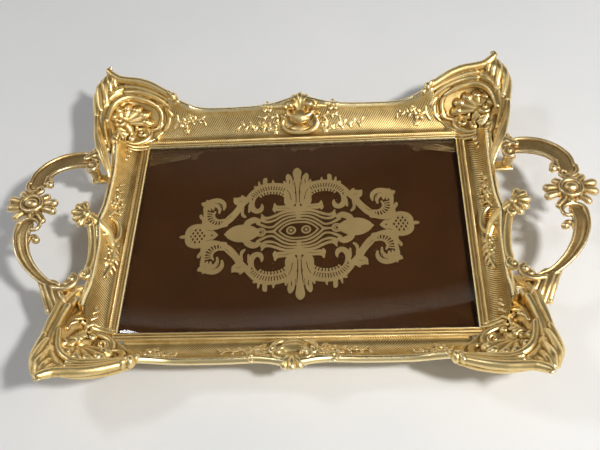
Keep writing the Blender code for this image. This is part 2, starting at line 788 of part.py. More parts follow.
def build_ornaments():
    screw_x, screw_y = brace_screws(1, 1)[0]
    tip = BRACE_SEAT - GAP + CORNER_SCREW + TIP_SPACE
    for leaf, flip, name in ((BACK_LEAF, False, "back"), (FRONT_LEAF, True, "front")):
        hole = screw_hole(screw_x, screw_y, 0.0, tip)
        corner = cut(corner_shape(leaf), saddles() + [hole])
        if flip:
            corner = mirrored(corner, flip_y=True)
        corner = cut(corner, [handle_shape(GAP)] + lug_clearance())
        finish(twin(corner, flip_x=True), f"corner_{name}_left", "gilt")
        finish(corner, f"corner_{name}_right", "gilt")

    tip = RAIL_BOTTOM - GAP + CREST_SCREW + TIP_SPACE
    crest_hole = screw_hole(0.0, HALF_DEPTH + CREST_SCREW_OUT, 0.0, tip)
    crest = cut(crest_shape(), [long_rail(saddle_section, -SADDLE_OVERRUN), crest_hole])
    finish(twin(crest, flip_y=True), "crest_front", "gilt")
    finish(crest, "crest_back", "gilt")

    side_hole = screw_hole(HALF_LENGTH + CREST_SCREW_OUT, CARTOUCHE_SCREW_Y, 0.0, tip)
    seat = [side_rail(saddle_section, -SADDLE_OVERRUN), side_hole]
    cartouche = cut(cartouche_shape(), seat + lug_clearance())
    finish(twin(cartouche, flip_x=True), "cartouche_left", "gilt")
    finish(cartouche, "cartouche_right", "gilt")

    holes = []
    for y in (HANDLE_ROOT_Y, HANDLE_FOOT_Y):
        tip = lug_top(y) - LUG_THICKNESS - GAP + LUG_SCREW + TIP_SPACE
        holes.append(screw_hole(lug_middle(), y, 0.0, tip))
    handle = cut(handle_shape(), [side_rail(saddle_section, -SADDLE_OVERRUN)] + holes)
    finish(twin(handle, flip_x=True), "handle_left", "bronze_gilt")
    finish(handle, "handle_right", "bronze_gilt")


def sheet_box(bottom, thickness):
    edge = LIP_WIDTH - EDGE_CLEARANCE
    low = (-HALF_LENGTH - edge, -HALF_DEPTH - edge, bottom)
    return box(low, (HALF_LENGTH + edge, HALF_DEPTH + edge, bottom + thickness))


LACE_TURN = 2.5
LACE_QUARTER = [
    (92.0, 0.0), (87.0, 10.0), (77.0, 17.0), (76.0, 31.0), (66.0, 38.0), (56.0, 33.0),
    (47.0, 39.0), (37.0, 42.0), (30.0, 51.0), (14.0, 52.0), (5.0, 57.0), (0.0, 61.0),
]


def lace_outline():
    """The medallion's outline, from one quarter of it."""
    quarter = LACE_QUARTER
    half = quarter + [(-x, y) for x, y in reversed(quarter[:-1])]
    whole = half + [(x, -y) for x, y in reversed(half[1:-1])]
    angle = math.radians(LACE_TURN)
    return [
        (x * math.cos(angle) - y * math.sin(angle), x * math.sin(angle) + y * math.cos(angle))
        for x, y in whole
    ]


def build_stack():
    finish(sheet_box(GLASS_Z, GLASS_THICKNESS), "glass_plate", "glass", smooth=False)
    finish(flat_plate(lace_outline(), LACE_Z, LACE_THICKNESS), "lace_medallion", "lace", smooth=False)
    finish(sheet_box(PANEL_Z, PANEL_THICKNESS), "fabric_panel", "brown_fabric", smooth=False)
    finish(sheet_box(BOARD_Z, BOARD_THICKNESS), "backing_board", "board", smooth=False)


def brace_outline(x_side, y_side):
    inner = BASE_MIDDLE - BRACE_WIDTH / 2
    outer = BASE_MIDDLE + BRACE_WIDTH / 2
    back = outer - BRACE_LEG
    corner = [(back, inner), (inner, inner), (inner, back), (outer, back), (outer, outer), (back, outer)]
    return [(x_side * (HALF_LENGTH + x), y_side * (HALF_DEPTH + y)) for x, y in corner]


def build_braces():
    for x_side, x_name in ((-1, "left"), (1, "right")):
        for y_side, y_name in ((1, "back"), (-1, "front")):
            where = f"{y_name}_{x_name}"
            plate = flat_plate(brace_outline(x_side, y_side), BRACE_SEAT, BRACE_THICKNESS)
            long_screw, side_screw = brace_screws(x_side, y_side)
            holes = [screw_hole(x, y, BRACE_SEAT - 1.0, HARDWARE_TOP + 1.0) for x, y in (long_screw, side_screw)]
            finish(cut(plate, holes), f"mitre_brace_{where}", "steel", smooth=False)
            finish(screw(*long_screw, BRACE_SEAT, CORNER_SCREW), f"corner_screw_{where}", "brass")
            finish(screw(*side_screw, BRACE_SEAT, SHORT_SCREW), f"brace_screw_{where}", "brass")


def button_outline():
    """A tongue with round ends, pivoting about (0, 0) and pointing to -Y."""
    steps = 8
    tip = 0.6 * BUTTON_RADIUS
    outline = []
    for i in range(steps + 1):
        angle = math.pi * i / steps
        outline.append((BUTTON_RADIUS * math.cos(angle), BUTTON_RADIUS * math.sin(angle)))
    for i in range(steps + 1):
        angle = math.pi + math.pi * i / steps
        outline.append((tip * math.cos(angle), tip * math.sin(angle) - BUTTON_REACH))
    return outline


def build_turn_buttons():
    for number, (x, y, side) in enumerate(button_places(), start=1):
        outline = [(x + side * px, y + side * py) for px, py in button_outline()]
        plate = flat_plate(outline, BUTTON_SEAT, BUTTON_THICKNESS)
        hole = screw_hole(x, y, BUTTON_SEAT - 1.0, HARDWARE_TOP + 1.0)
        finish(cut(plate, [hole]), f"turn_button_{number}", "steel", smooth=False, pivot=(x, y, BUTTON_SEAT))
        finish(screw(x, y, BUTTON_SEAT, SHORT_SCREW), f"button_screw_{number}", "brass")


def build_fasteners():
    for side, name in ((1, "back"), (-1, "front")):
        made = screw(0.0, side * (HALF_DEPTH + CREST_SCREW_OUT), RAIL_BOTTOM, CREST_SCREW)
        finish(made, f"crest_screw_{name}", "brass")
    for side, name in ((-1, "left"), (1, "right")):
        made = screw(side * (HALF_LENGTH + CREST_SCREW_OUT), CARTOUCHE_SCREW_Y, RAIL_BOTTOM, CREST_SCREW)
        finish(made, f"cartouche_screw_{name}", "brass")
        for y, end in ((HANDLE_ROOT_Y, "root"), (HANDLE_FOOT_Y, "foot")):
            made = screw(side * lug_middle(), y, lug_top(y) - LUG_THICKNESS, LUG_SCREW)
            finish(made, f"handle_screw_{end}_{name}", "brass")


def build_feet():
    for (x, y), name in zip(foot_places(), ("back_left", "back_right", "front_left", "front_right")):
        finish(cylinder(x, y, 0.0, FOOT_HEIGHT, 0.85 * FOOT_RADIUS, FOOT_RADIUS), f"foot_{name}", "felt")


clear_scene()
MODEL = collection(PARTS)
CUTTERS = collection("cutters")
build_rails()
build_ornaments()
build_stack()
build_braces()
build_turn_buttons()
build_fasteners()
build_feet()
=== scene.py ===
"""Looks of the dresser vanity tray: cast gilt ornament, milled rails, glass, lace and brown cloth.

Lengths in the geometry are millimetres, in the CAD frame (origin under the middle of the tray,
+X long side, +Y back, +Z up); meshes are written in metres.
"""

import math

import bmesh
import bpy
import numpy as np
from mathutils import Matrix, Vector


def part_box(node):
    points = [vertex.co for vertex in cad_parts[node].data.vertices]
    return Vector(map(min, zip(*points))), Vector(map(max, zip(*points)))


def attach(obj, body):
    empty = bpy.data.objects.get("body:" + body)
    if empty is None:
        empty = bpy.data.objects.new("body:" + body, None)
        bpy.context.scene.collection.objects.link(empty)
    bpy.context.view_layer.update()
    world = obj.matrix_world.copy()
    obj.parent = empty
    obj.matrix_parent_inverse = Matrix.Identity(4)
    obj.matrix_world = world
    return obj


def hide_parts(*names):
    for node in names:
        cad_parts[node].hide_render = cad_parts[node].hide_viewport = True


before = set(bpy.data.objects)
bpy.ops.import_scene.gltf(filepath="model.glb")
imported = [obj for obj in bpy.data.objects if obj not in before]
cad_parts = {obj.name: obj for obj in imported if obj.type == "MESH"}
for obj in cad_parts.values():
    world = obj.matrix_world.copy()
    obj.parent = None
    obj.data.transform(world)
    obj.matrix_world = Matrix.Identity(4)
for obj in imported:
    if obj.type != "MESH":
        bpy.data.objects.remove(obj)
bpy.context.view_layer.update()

MM = 0.001
UP = np.array([0.0, 0.0, 1.0])


# ---------------------------------------------------------------- places taken from the frame


def node_box(name):
    """A CAD node's lowest and highest corners, in millimetres."""
    low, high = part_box(name)
    return np.array(low) / MM, np.array(high) / MM


HALF_LENGTH = round(float(node_box("rail_right")[0][0]), 3)
HALF_DEPTH = round(float(node_box("rail_back")[0][1]), 3)
RAIL_BOTTOM = round(float(node_box("rail_back")[0][2]), 3)
GLASS_LOW, GLASS_HIGH = node_box("glass_plate")
PANEL_LOW, PANEL_HIGH = node_box("fabric_panel")
LACE_LOW = node_box("lace_medallion")[0]
GAP = 0.3
LIP_THICKNESS = 2.5
BASE_OUT = 14.0
LIP_Z = float(GLASS_HIGH[2]) + GAP
SIGHT_Z = LIP_Z + LIP_THICKNESS
RIM_RADIUS = 2.8
COVE_START = 9.0
COVE_FOOT = -1.0
COVE_CLIMB = 1.2
COVE_CURVE = 1.9
SIDE_RIM_OUT = 22.5


# ---------------------------------------------------------------- geometry kit


def unit(v):
    """Rows scaled to length 1."""
    return v / np.maximum(np.linalg.norm(v, axis=-1, keepdims=True), 1e-9)


def bump(distance, width):
    """A smooth hump, 1 at distance 0."""
    return np.exp(-((distance / width) ** 2))


def smooth(points, step=0.8):
    """A Catmull-Rom curve through the rows; every column, radius too, follows it."""
    p = np.array(points, float)
    p = np.vstack([2 * p[0] - p[1], p, 2 * p[-1] - p[-2]])
    rows = []
    for a, b, c, d in zip(p[:-3], p[1:-2], p[2:-1], p[3:]):
        count = max(2, int(np.ceil(np.linalg.norm((c - b)[:3]) / step)))
        t = (np.arange(count) / count)[:, None]
        rows.append(
            0.5 * (
                2 * b + (c - a) * t + (2 * a - 5 * b + 4 * c - d) * t**2 + (3 * b - a - 3 * c + d) * t**3
            )
        )
    rows.append(p[-2:-1])
    return np.vstack(rows)


def frames(path, up):
    """Tangent, side and normal at each point; the normal stays as near up as it can."""
    tangent = unit(np.gradient(path[:, :3], axis=0))
    up = unit(np.array(up, float))
    side = np.cross(np.broadcast_to(up, tangent.shape), tangent)
    last = None
    for i, row in enumerate(side):
        if np.linalg.norm(row) < 0.3 and last is not None:
            row = last - tangent[i] * (last @ tangent[i])
        elif np.linalg.norm(row) < 0.3:
            row = np.cross(np.cross(tangent[i], [1.0, 0.3, 0.1]), tangent[i])
        last = row / np.linalg.norm(row)
        side[i] = last
    return tangent, side, np.cross(tangent, side)


class Clay:
    """Closed bodies, gathered as points and faces, that a remesh fuses into one casting."""

    def __init__(self):
        self.points = []
        self.faces = []
        self.count = 0

    def add(self, points, faces):
        self.points.append(np.asarray(points, float))
        self.faces.extend([tuple(int(i) + self.count for i in face) for face in faces])
        self.count += len(points)

    def all_points(self):
        return np.vstack(self.points)


def ring_faces(rings, sides):
    """Quads between consecutive rings and a cap on each end."""
    faces = []
    for i in range(rings - 1):
        for j in range(sides):
            k = (j + 1) % sides
            faces.append((i * sides + j, i * sides + k, (i + 1) * sides + k, (i + 1) * sides + j))
    faces.append(tuple(range(sides - 1, -1, -1)))
    faces.append(tuple((rings - 1) * sides + j for j in range(sides)))
    return faces


END_ANGLES = np.radians([72.0, 48.0, 24.0])


def sweep(clay, path, flat=1.0, up=UP, sides=12, nose=1.0):
    """A round or flattened bar along a fine path of (x, y, z, radius), with rounded ends."""
    tangent, side, normal = frames(path, up)
    centre = path[:, :3]
    radius = np.maximum(path[:, 3], 0.15)
    head = centre[0] - tangent[0] * (nose * radius[0] * np.sin(END_ANGLES))[:, None]
    tail = centre[-1] + tangent[-1] * (nose * radius[-1] * np.sin(END_ANGLES[::-1]))[:, None]
    centre = np.vstack([head, centre, tail])
    radius = np.concatenate(
        [radius[0] * np.cos(END_ANGLES), radius, radius[-1] * np.cos(END_ANGLES[::-1])]
    )
    ends = len(END_ANGLES)
    side = np.vstack([np.repeat(side[:1], ends, 0), side, np.repeat(side[-1:], ends, 0)])
    normal = np.vstack([np.repeat(normal[:1], ends, 0), normal, np.repeat(normal[-1:], ends, 0)])
    angle = np.arange(sides) * 2 * math.pi / sides
    ring = (
        np.cos(angle)[None, :, None] * side[:, None, :]
        + flat * np.sin(angle)[None, :, None] * normal[:, None, :]
    )
    points = centre[:, None, :] + radius[:, None, None] * ring
    clay.add(points.reshape(-1, 3), ring_faces(len(centre), sides))


def bar(clay, points, flat=1.0, up=UP, sides=12, step=0.8, nose=1.0):
    """A round or flattened bar through the given rows of x, y, z and radius."""
    sweep(clay, smooth(points, step), flat, up, sides, nose)


def channel(clay, points, flat=0.28, edge=1.5, lift=1.6, middle=1.0, place=0.1, up=UP):
    """A flat band with a raised bead along each edge and a low ridge between them."""
    path = smooth(points, 0.8)
    sweep(clay, path, flat, up, 16)
    _, side, normal = frames(path, up)
    for across, radius, rise in ((-1.0, edge, lift), (1.0, edge, lift), (place, middle, 0.55 * lift)):
        line = path.copy()
        share = np.clip(path[:, 3:4] / path[:, 3].max(), 0.5, 1)
        reach = path[:, 3:4] - 0.7 * radius if abs(across) == 1.0 else path[:, 3:4]
        line[:, :3] += across * reach * side + rise * share * normal
        line[:, 3:4] = radius * share
        sweep(clay, line, 1.0, up, 10)


def ball(clay, centre, radii, turn=0.0, tilt=0.0):
    """An ellipsoid, tilted about Y and then turned about Z, in degrees."""
    rings, sides = 11, 18
    latitude = np.linspace(-0.46, 0.46, rings) * math.pi
    angle = np.arange(sides) * 2 * math.pi / sides
    points = np.stack(
        [
            np.cos(latitude)[:, None] * np.cos(angle)[None, :],
            np.cos(latitude)[:, None] * np.sin(angle)[None, :],
            np.repeat(np.sin(latitude)[:, None], sides, 1),
        ],
        -1,
    ).reshape(-1, 3) * np.array(radii, float)
    turned = Matrix.Rotation(math.radians(turn), 3, "Z") @ Matrix.Rotation(math.radians(tilt), 3, "Y")
    clay.add(points @ np.array(turned).T + np.array(centre, float), ring_faces(rings, sides))


def spiral(centre, start, end, first, last, tall=0.0, thick=(1.6, 1.0), count=14):
    """Points of a flat spiral round centre: angles in degrees, radii first to last."""
    rows = []
    for i in range(count):
        t = i / (count - 1)
        angle = math.radians(start + (end - start) * t)
        radius = first + (last - first) * t
        rows.append(
            (
                centre[0] + radius * math.cos(angle),
                centre[1] + radius * math.sin(angle),
                centre[2] + tall * t,
                thick[0] + (thick[1] - thick[0]) * t,
            )
        )
    return rows


def finger(clay, root, tip, root_radius, tip_radius, arch=0.0, flat=0.8, up=UP):
    """One lobe of a shell or leaf: a bar that widens from its root to a round tip."""
    root, tip = np.array(root, float), np.array(tip, float)
    rows = []
    for t in (0.0, 0.35, 0.7, 1.0):
        place = root + (tip - root) * t + np.array(up, float) * arch * math.sin(math.pi * t)
        rows.append((*place, root_radius + (tip_radius - root_radius) * t**0.8))
    bar(clay, rows, flat, up, 12)


def leaf(clay, spine, fingers, spread, flat=0.6, up=UP, lean=0.9, size=1.0):
    """An acanthus leaf: a spine with pairs of round-tipped lobes that lean forward."""
    path = smooth(spine, 0.6)
    tangent, side, normal = frames(path, up)
    sweep(clay, path, flat, up, 10)
    for k in range(fingers):
        t = (k + 0.6) / fingers * 0.92
        i = min(len(path) - 1, int(t * len(path)))
        reach = spread * (0.55 + 0.75 * math.sin(math.pi * min(1.0, t + 0.12)))
        for hand in (-1, 1):
            root = path[i, :3] - normal[i] * 0.3
            tip = path[i, :3] + side[i] * hand * reach + tangent[i] * reach * lean - normal[i] * 0.25 * reach
            finger(
                clay, root, tip, 0.55 * size * path[i, 3] + 0.3, 0.22 * reach * size + 0.25, 0.12 * reach,
                0.75, up
            )


def flower(clay, centre, size, tilt_up=UP, petals=5, turn=0.0):
    """A five-petal rosette with a bead in its middle, lying square to tilt_up."""
    axis = unit(np.array(tilt_up, float))
    first = unit(np.cross(axis, [0.3, 1.0, 0.2]))
    second = np.cross(axis, first)
    centre = np.array(centre, float)
    for k in range(petals):
        angle = math.radians(turn) + 2 * math.pi * k / petals
        way = math.cos(angle) * first + math.sin(angle) * second
        root = centre + way * size * 0.2
        tip = centre + way * size * 0.68 + axis * size * 0.1
        finger(clay, root, tip, size * 0.22, size * 0.36, size * 0.05, 0.55, axis)
    ball(clay, centre + axis * size * 0.26, (size * 0.24,) * 3)


def spray(clay, spine, leaves, size, up=UP):
    """A thin stem with small leaves on alternate sides."""
    path = smooth(spine, 0.6)
    sweep(clay, path, 0.8, up, 8)
    tangent, side, _ = frames(path, up)
    for k in range(leaves):
        i = min(len(path) - 1, int((k + 0.5) / leaves * len(path)))
        hand = 1 if k % 2 else -1
        root = path[i, :3]
        tip = root + side[i] * hand * size + tangent[i] * size * 0.7
        finger(clay, root, tip, 0.6, size * 0.34, 0.3, 0.6, up)


# ---------------------------------------------------------------- meshes and pieces


def mesh_of(name, points, faces):
    """A mesh in metres from points in millimetres."""
    made = bpy.data.meshes.new(name)
    made.from_pydata((np.asarray(points) * MM).tolist(), [], [tuple(f) for f in faces])
    made.update()
    return made


def linked(name, mesh):
    """A new object for a mesh, in the scene."""
    obj = bpy.data.objects.new(name, mesh)
    bpy.context.scene.collection.objects.link(obj)
    return obj


def applied(obj):
    """The object's mesh with its modifiers in it, and no modifiers left."""
    bpy.context.view_layer.update()
    evaluated = obj.evaluated_get(bpy.context.evaluated_depsgraph_get())
    final = bpy.data.meshes.new_from_object(evaluated)
    old = obj.data
    obj.modifiers.clear()
    obj.data = final
    bpy.data.meshes.remove(old)
    return obj


def arrays(mesh):
    """A mesh's points as an array."""
    points = np.zeros(len(mesh.vertices) * 3, np.float32)
    mesh.vertices.foreach_get("co", points)
    return points.reshape(-1, 3).astype(float)


def relax(points, edges, count, rounds):
    """Points moved to the mean of their neighbours, rounds times over."""
    a, b = edges[:, 0], edges[:, 1]
    degree = np.bincount(a, minlength=count) + np.bincount(b, minlength=count)
    degree = np.maximum(degree, 1)[:, None]
    moved = points.copy()
    for _ in range(rounds):
        total = np.stack(
            [
                np.bincount(a, moved[b, k], count) + np.bincount(b, moved[a, k], count)
                for k in range(3)
            ],
            -1,
        )
        moved = 0.5 * moved + 0.5 * total / degree
    return moved


def mark_hollow_patina_shade(mesh, fine_rounds, wide_rounds, fine_mm, wide_mm):
    """Writes the attribute hollow: near 1 in a groove, near 0 on a worn ridge, 0.5 on the flat; high values
    darken the gilt as patina and as painted shade.
    """
    points = arrays(mesh)
    count = len(points)
    edges = np.zeros(len(mesh.edges) * 2, np.int32)
    mesh.edges.foreach_get("vertices", edges)
    edges = edges.reshape(-1, 2)
    normal = np.zeros(count * 3, np.float32)
    mesh.vertex_normals.foreach_get("vector", normal)
    normal = normal.reshape(-1, 3)
    fine = relax(points, edges, count, fine_rounds)
    wide = relax(fine, edges, count, wide_rounds)
    small = np.einsum("ij,ij->i", fine - points, normal) / (fine_mm * MM)
    large = np.einsum("ij,ij->i", wide - points, normal) / (wide_mm * MM)
    # Painted shade: the wide term darkens broad recesses where shade falls, as ambient occlusion would; the
    # fine term marks patina in narrow grooves.
    value = 0.5 + 0.5 * np.tanh(0.55 * small + 0.8 * large)
    attribute = mesh.attributes.new("hollow", "FLOAT", "POINT")
    attribute.data.foreach_set("value", value.astype(np.float32))


def cast(name, clay, voxel=0.5, rounds=2):
    """The clay's bodies fused by a voxel remesh and softened, as a mesh with its hollows marked."""
    obj = linked(name, mesh_of(name, clay.all_points(), clay.faces))
    fuse = obj.modifiers.new("fuse", "REMESH")
    fuse.mode = "VOXEL"
    fuse.voxel_size = voxel * MM
    soften = obj.modifiers.new("soften", "SMOOTH")
    soften.factor = 0.5
    soften.iterations = rounds
    applied(obj)
    drop_crumbs(obj.data)
    obj.data.polygons.foreach_set("use_smooth", [True] * len(obj.data.polygons))
    mark_hollow_patina_shade(obj.data, 3, 22, 0.10, 0.9)
    return obj


def drop_crumbs(mesh):
    """Removes shells that are much smaller than the casting, such as a sealed inner pocket."""
    form = bmesh.new()
    form.from_mesh(mesh)
    form.verts.ensure_lookup_table()
    seen = set()
    groups = []
    for vert in form.verts:
        if vert.index in seen:
            continue
        stack, group = [vert], []
        seen.add(vert.index)
        while stack:
            v = stack.pop()
            group.append(v)
            for edge in v.link_edges:
                other = edge.other_vert(v)
                if other.index not in seen:
                    seen.add(other.index)
                    stack.append(other)
        groups.append(group)
    largest = max(len(g) for g in groups)
    for group in groups:
        if len(group) < 0.05 * largest:
            bmesh.ops.delete(form, geom=group, context="VERTS")
    form.to_mesh(mesh)
    form.free()


def flipped_copy(obj, name, side_x, side_y):
    """A mirrored copy of a casting: X and Y are multiplied by 1 or -1."""
    made = obj.data.copy()
    made.transform(Matrix.Diagonal((side_x, side_y, 1.0, 1.0)))
    if side_x * side_y < 0:
        made.flip_normals()
    return linked(name, made)


def stands_for(obj, slot, body, material, *nodes):
    """Gives a finished piece its material and body and hides the CAD nodes that it stands for; slot is not
    used.
    """
    obj.data.materials.clear()
    obj.data.materials.append(material)
    if nodes:
        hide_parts(*nodes)
    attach(obj, body)
    return obj


# ---------------------------------------------------------------- materials


def node_material(name):
    """A new node material, with its nodes, its links and its Principled shader."""
    made = bpy.data.materials.new(name)
    made.use_nodes = True
    return made, made.node_tree.nodes, made.node_tree.links, made.node_tree.nodes["Principled BSDF"]


def ramp(nodes, stops):
    """A colour ramp with the given stops."""
    node = nodes.new("ShaderNodeValToRGB")
    elements = node.color_ramp.elements
    while len(elements) < len(stops):
        elements.new(0.5)
    for element, (place, colour) in zip(elements, stops):
        element.position = place
        element.color = (*colour, 1.0)
    return node


def noise(nodes, links, scale, detail=3.0, roughness=0.55):
    """Noise that is fixed to the object, in cells of 1/scale metres."""
    place = nodes.new("ShaderNodeTexCoord")
    node = nodes.new("ShaderNodeTexNoise")
    node.inputs["Scale"].default_value = scale
    node.inputs["Detail"].default_value = detail
    node.inputs["Roughness"].default_value = roughness
    links.new(place.outputs["Object"], node.inputs["Vector"])
    return node


def maths(nodes, links, kind, a, b):
    """A math node on two values."""
    node = nodes.new("ShaderNodeMath")
    node.operation = kind
    for socket, value in zip(node.inputs, (a, b)):
        if isinstance(value, (int, float)):
            socket.default_value = value
        else:
            links.new(value, socket)
    return node.outputs[0]


def spread(nodes, links, value, low, high, to_low, to_high):
    """A value mapped from one range to another."""
    node = nodes.new("ShaderNodeMapRange")
    for socket, number in zip(("From Min", "From Max", "To Min", "To Max"), (low, high, to_low, to_high)):
        node.inputs[socket].default_value = number
    links.new(value, node.inputs["Value"])
    return node.outputs["Result"]


def add_bump(nodes, links, shader, height, distance, strength=1.0):
    """Bump on a shader from a height."""
    node = nodes.new("ShaderNodeBump")
    node.inputs["Distance"].default_value = distance
    node.inputs["Strength"].default_value = strength
    links.new(height, node.inputs["Height"])
    links.new(node.outputs["Normal"], shader.inputs["Normal"])


def gilt_material(name, ridge, middle, shade, groove, rough_ridge, rough_groove):
    """Antique gilt: bright worn ridges, yellow metal, and dull brown in the hollows that is partly patina
    and partly painted shade.
    """
    made, nodes, links, shader = node_material(name)
    hollow = nodes.new("ShaderNodeAttribute")
    hollow.attribute_name = "hollow"
    blotch = noise(nodes, links, 90.0, 4.0)
    speck = noise(nodes, links, 900.0, 3.0, 0.6)
    uneven = maths(
        nodes, links, "MULTIPLY", maths(nodes, links, "SUBTRACT", blotch.outputs["Fac"], 0.5), 0.55
    )
    fleck = maths(
        nodes, links, "MULTIPLY", maths(nodes, links, "SUBTRACT", speck.outputs["Fac"], 0.5), 0.30
    )
    # Painted shade with patina: the hollow attribute darkens recesses, with random blotches and flecks of
    # tone on top; the shade and groove stops of the ramp paint that shade.
    patina_and_painted_shade = maths(nodes, links, "ADD", hollow.outputs["Fac"], maths(nodes, links, "ADD", uneven, fleck))
    colour = ramp(nodes, [(0.12, ridge), (0.42, middle), (0.66, shade), (0.93, groove)])
    links.new(patina_and_painted_shade, colour.inputs["Fac"])
    links.new(colour.outputs["Color"], shader.inputs["Base Color"])
    links.new(spread(nodes, links, patina_and_painted_shade, 0.1, 0.9, rough_ridge, rough_groove), shader.inputs["Roughness"])
    links.new(spread(nodes, links, patina_and_painted_shade, 0.55, 1.0, 1.0, 0.55), shader.inputs["Metallic"])
    grain = noise(nodes, links, 1500.0, 4.0, 0.65)
    height = maths(
        nodes, links, "ADD", grain.outputs["Fac"],
        maths(nodes, links, "MULTIPLY", speck.outputs["Fac"], 1.2)
    )
    add_bump(nodes, links, shader, height, 0.00016, 0.5)
    return made


def glass_material():
    """Clear plate glass that lets lamps through to what lies under it."""
    made, nodes, links, shader = node_material("plate_glass")
    shader.inputs["Base Color"].default_value = (0.93, 0.96, 0.95, 1.0)
    shader.inputs["Transmission Weight"].default_value = 1.0
    shader.inputs["IOR"].default_value = 1.5
    shader.inputs["Roughness"].default_value = 0.012
    path = nodes.new("ShaderNodeLightPath")
    clear = nodes.new("ShaderNodeBsdfTransparent")
    clear.inputs["Color"].default_value = (0.93, 0.95, 0.94, 1.0)
    mix = nodes.new("ShaderNodeMixShader")
    links.new(path.outputs["Is Shadow Ray"], mix.inputs["Fac"])
    links.new(shader.outputs["BSDF"], mix.inputs[1])
    links.new(clear.outputs["BSDF"], mix.inputs[2])
    links.new(mix.outputs["Shader"], nodes["Material Output"].inputs["Surface"])
    return made


def wave_height(nodes, links, scale, direction, distortion=0.3):
    """Parallel bands that are fixed to the object, as a height."""
    place = nodes.new("ShaderNodeTexCoord")
    node = nodes.new("ShaderNodeTexWave")
    node.wave_type = "BANDS"
    node.bands_direction = direction
    node.inputs["Scale"].default_value = scale
    node.inputs["Distortion"].default_value = distortion
    node.inputs["Detail"].default_value = 2.0
    links.new(place.outputs["Object"], node.inputs["Vector"])
    return node.outputs["Fac"]


def cloth_material(name, dark, light, thread_scale, sheen, depth):
    """Woven cloth: crossed threads in the bump and in the colour, uneven dye, soft sheen."""
    made, nodes, links, shader = node_material(name)
    warp = wave_height(nodes, links, thread_scale, "X")
    weft = wave_height(nodes, links, thread_scale, "Y")
    woven = maths(nodes, links, "MAXIMUM", warp, weft)
    dye = noise(nodes, links, 35.0, 5.0)
    fuzz = noise(nodes, links, 1800.0, 3.0, 0.7)
    shade = maths(
        nodes, links, "ADD", maths(nodes, links, "MULTIPLY", woven, 0.35),
        maths(nodes, links, "MULTIPLY", dye.outputs["Fac"], 0.45)
    )
    shade = maths(nodes, links, "ADD", shade, maths(nodes, links, "MULTIPLY", fuzz.outputs["Fac"], 0.3))
    colour = ramp(nodes, [(0.25, dark), (0.85, light)])
    links.new(shade, colour.inputs["Fac"])
    links.new(colour.outputs["Color"], shader.inputs["Base Color"])
    links.new(spread(nodes, links, fuzz.outputs["Fac"], 0.3, 0.7, 0.8, 0.95), shader.inputs["Roughness"])
    shader.inputs["Sheen Weight"].default_value = sheen
    shader.inputs["Sheen Roughness"].default_value = 0.5
    shader.inputs["Specular IOR Level"].default_value = 0.03
    add_bump(nodes, links, shader, shade, depth, 0.8)
    return made


def board_material():
    """Brown hardboard: a fibrous face with darker flecks."""
    made, nodes, links, shader = node_material("fibre_board")
    fibre = noise(nodes, links, 420.0, 6.0, 0.7)
    stain = noise(nodes, links, 14.0, 3.0)
    shade = maths(
        nodes, links, "ADD", maths(nodes, links, "MULTIPLY", fibre.outputs["Fac"], 0.6),
        maths(nodes, links, "MULTIPLY", stain.outputs["Fac"], 0.4)
    )
    colour = ramp(nodes, [(0.3, (0.16, 0.09, 0.045)), (0.7, (0.36, 0.24, 0.13))])
    links.new(shade, colour.inputs["Fac"])
    links.new(colour.outputs["Color"], shader.inputs["Base Color"])
    links.new(
        spread(nodes, links, stain.outputs["Fac"], 0.3, 0.7, 0.62, 0.85), shader.inputs["Roughness"]
    )
    add_bump(nodes, links, shader, fibre.outputs["Fac"], 0.0003, 0.6)
    return made


def plain_metal(name, bright, dull, rough_low, rough_high):
    """Small hardware: brushed metal with dull blotches."""
    made, nodes, links, shader = node_material(name)
    blotch = noise(nodes, links, 300.0, 5.0)
    brush = wave_height(nodes, links, 900.0, "X", 2.0)
    colour = ramp(nodes, [(0.35, dull), (0.65, bright)])
    links.new(blotch.outputs["Fac"], colour.inputs["Fac"])
    links.new(colour.outputs["Color"], shader.inputs["Base Color"])
    shader.inputs["Metallic"].default_value = 1.0
    links.new(
        spread(nodes, links, blotch.outputs["Fac"], 0.3, 0.7, rough_high, rough_low),
        shader.inputs["Roughness"]
    )
    add_bump(nodes, links, shader, brush, 0.00003, 0.4)
    return made


def paper_material():
    """The pale surface under the tray: near white, a little uneven."""
    made, nodes, links, shader = node_material("pale_paper")
    cloud = noise(nodes, links, 6.0, 4.0)
    fine = noise(nodes, links, 60.0, 4.0)
    colour = ramp(nodes, [(0.3, (0.78, 0.79, 0.80)), (0.7, (0.83, 0.83, 0.83))])
    links.new(cloud.outputs["Fac"], colour.inputs["Fac"])
    links.new(colour.outputs["Color"], shader.inputs["Base Color"])
    shader.inputs["Roughness"].default_value = 0.7
    add_bump(nodes, links, shader, fine.outputs["Fac"], 0.001, 0.25)
    return made


# ---------------------------------------------------------------- rails


def long_rim(x):
    """Outward place and rise of a long rail's rim along it."""
    from_corner = HALF_LENGTH - np.abs(x)
    out = 29.0 + 4.8 * bump(x, 16.0) + 3.4 * bump(from_corner - 18.0, 14.0)
    rise = 11.5 + 5.8 * bump(x, 27.0) + 11.0 * bump(from_corner - 18.0, 17.0)
    return out, rise


def side_rim(y):
    """Outward place and rise of a side rail's rim along it."""
    from_corner = HALF_DEPTH - np.abs(y)
    out = SIDE_RIM_OUT + 2.0 * bump(y, 12.0)
    rise = 11.0 + 3.0 * bump(y, 16.0) + 8.0 * bump(from_corner - 8.0, 18.0)
    return out, rise


def cove_height(rim, place, out):
    """Height of a rail's cove above the sight plane, out from the sight edge at a place along it."""
    rim_out, rise = rim(place)
    share = np.clip((out - COVE_START) / (rim_out - 0.8 * RIM_RADIUS - COVE_START), 0.0, 1.0)
    return float(COVE_FOOT + (rise + COVE_CLIMB) * share**COVE_CURVE)


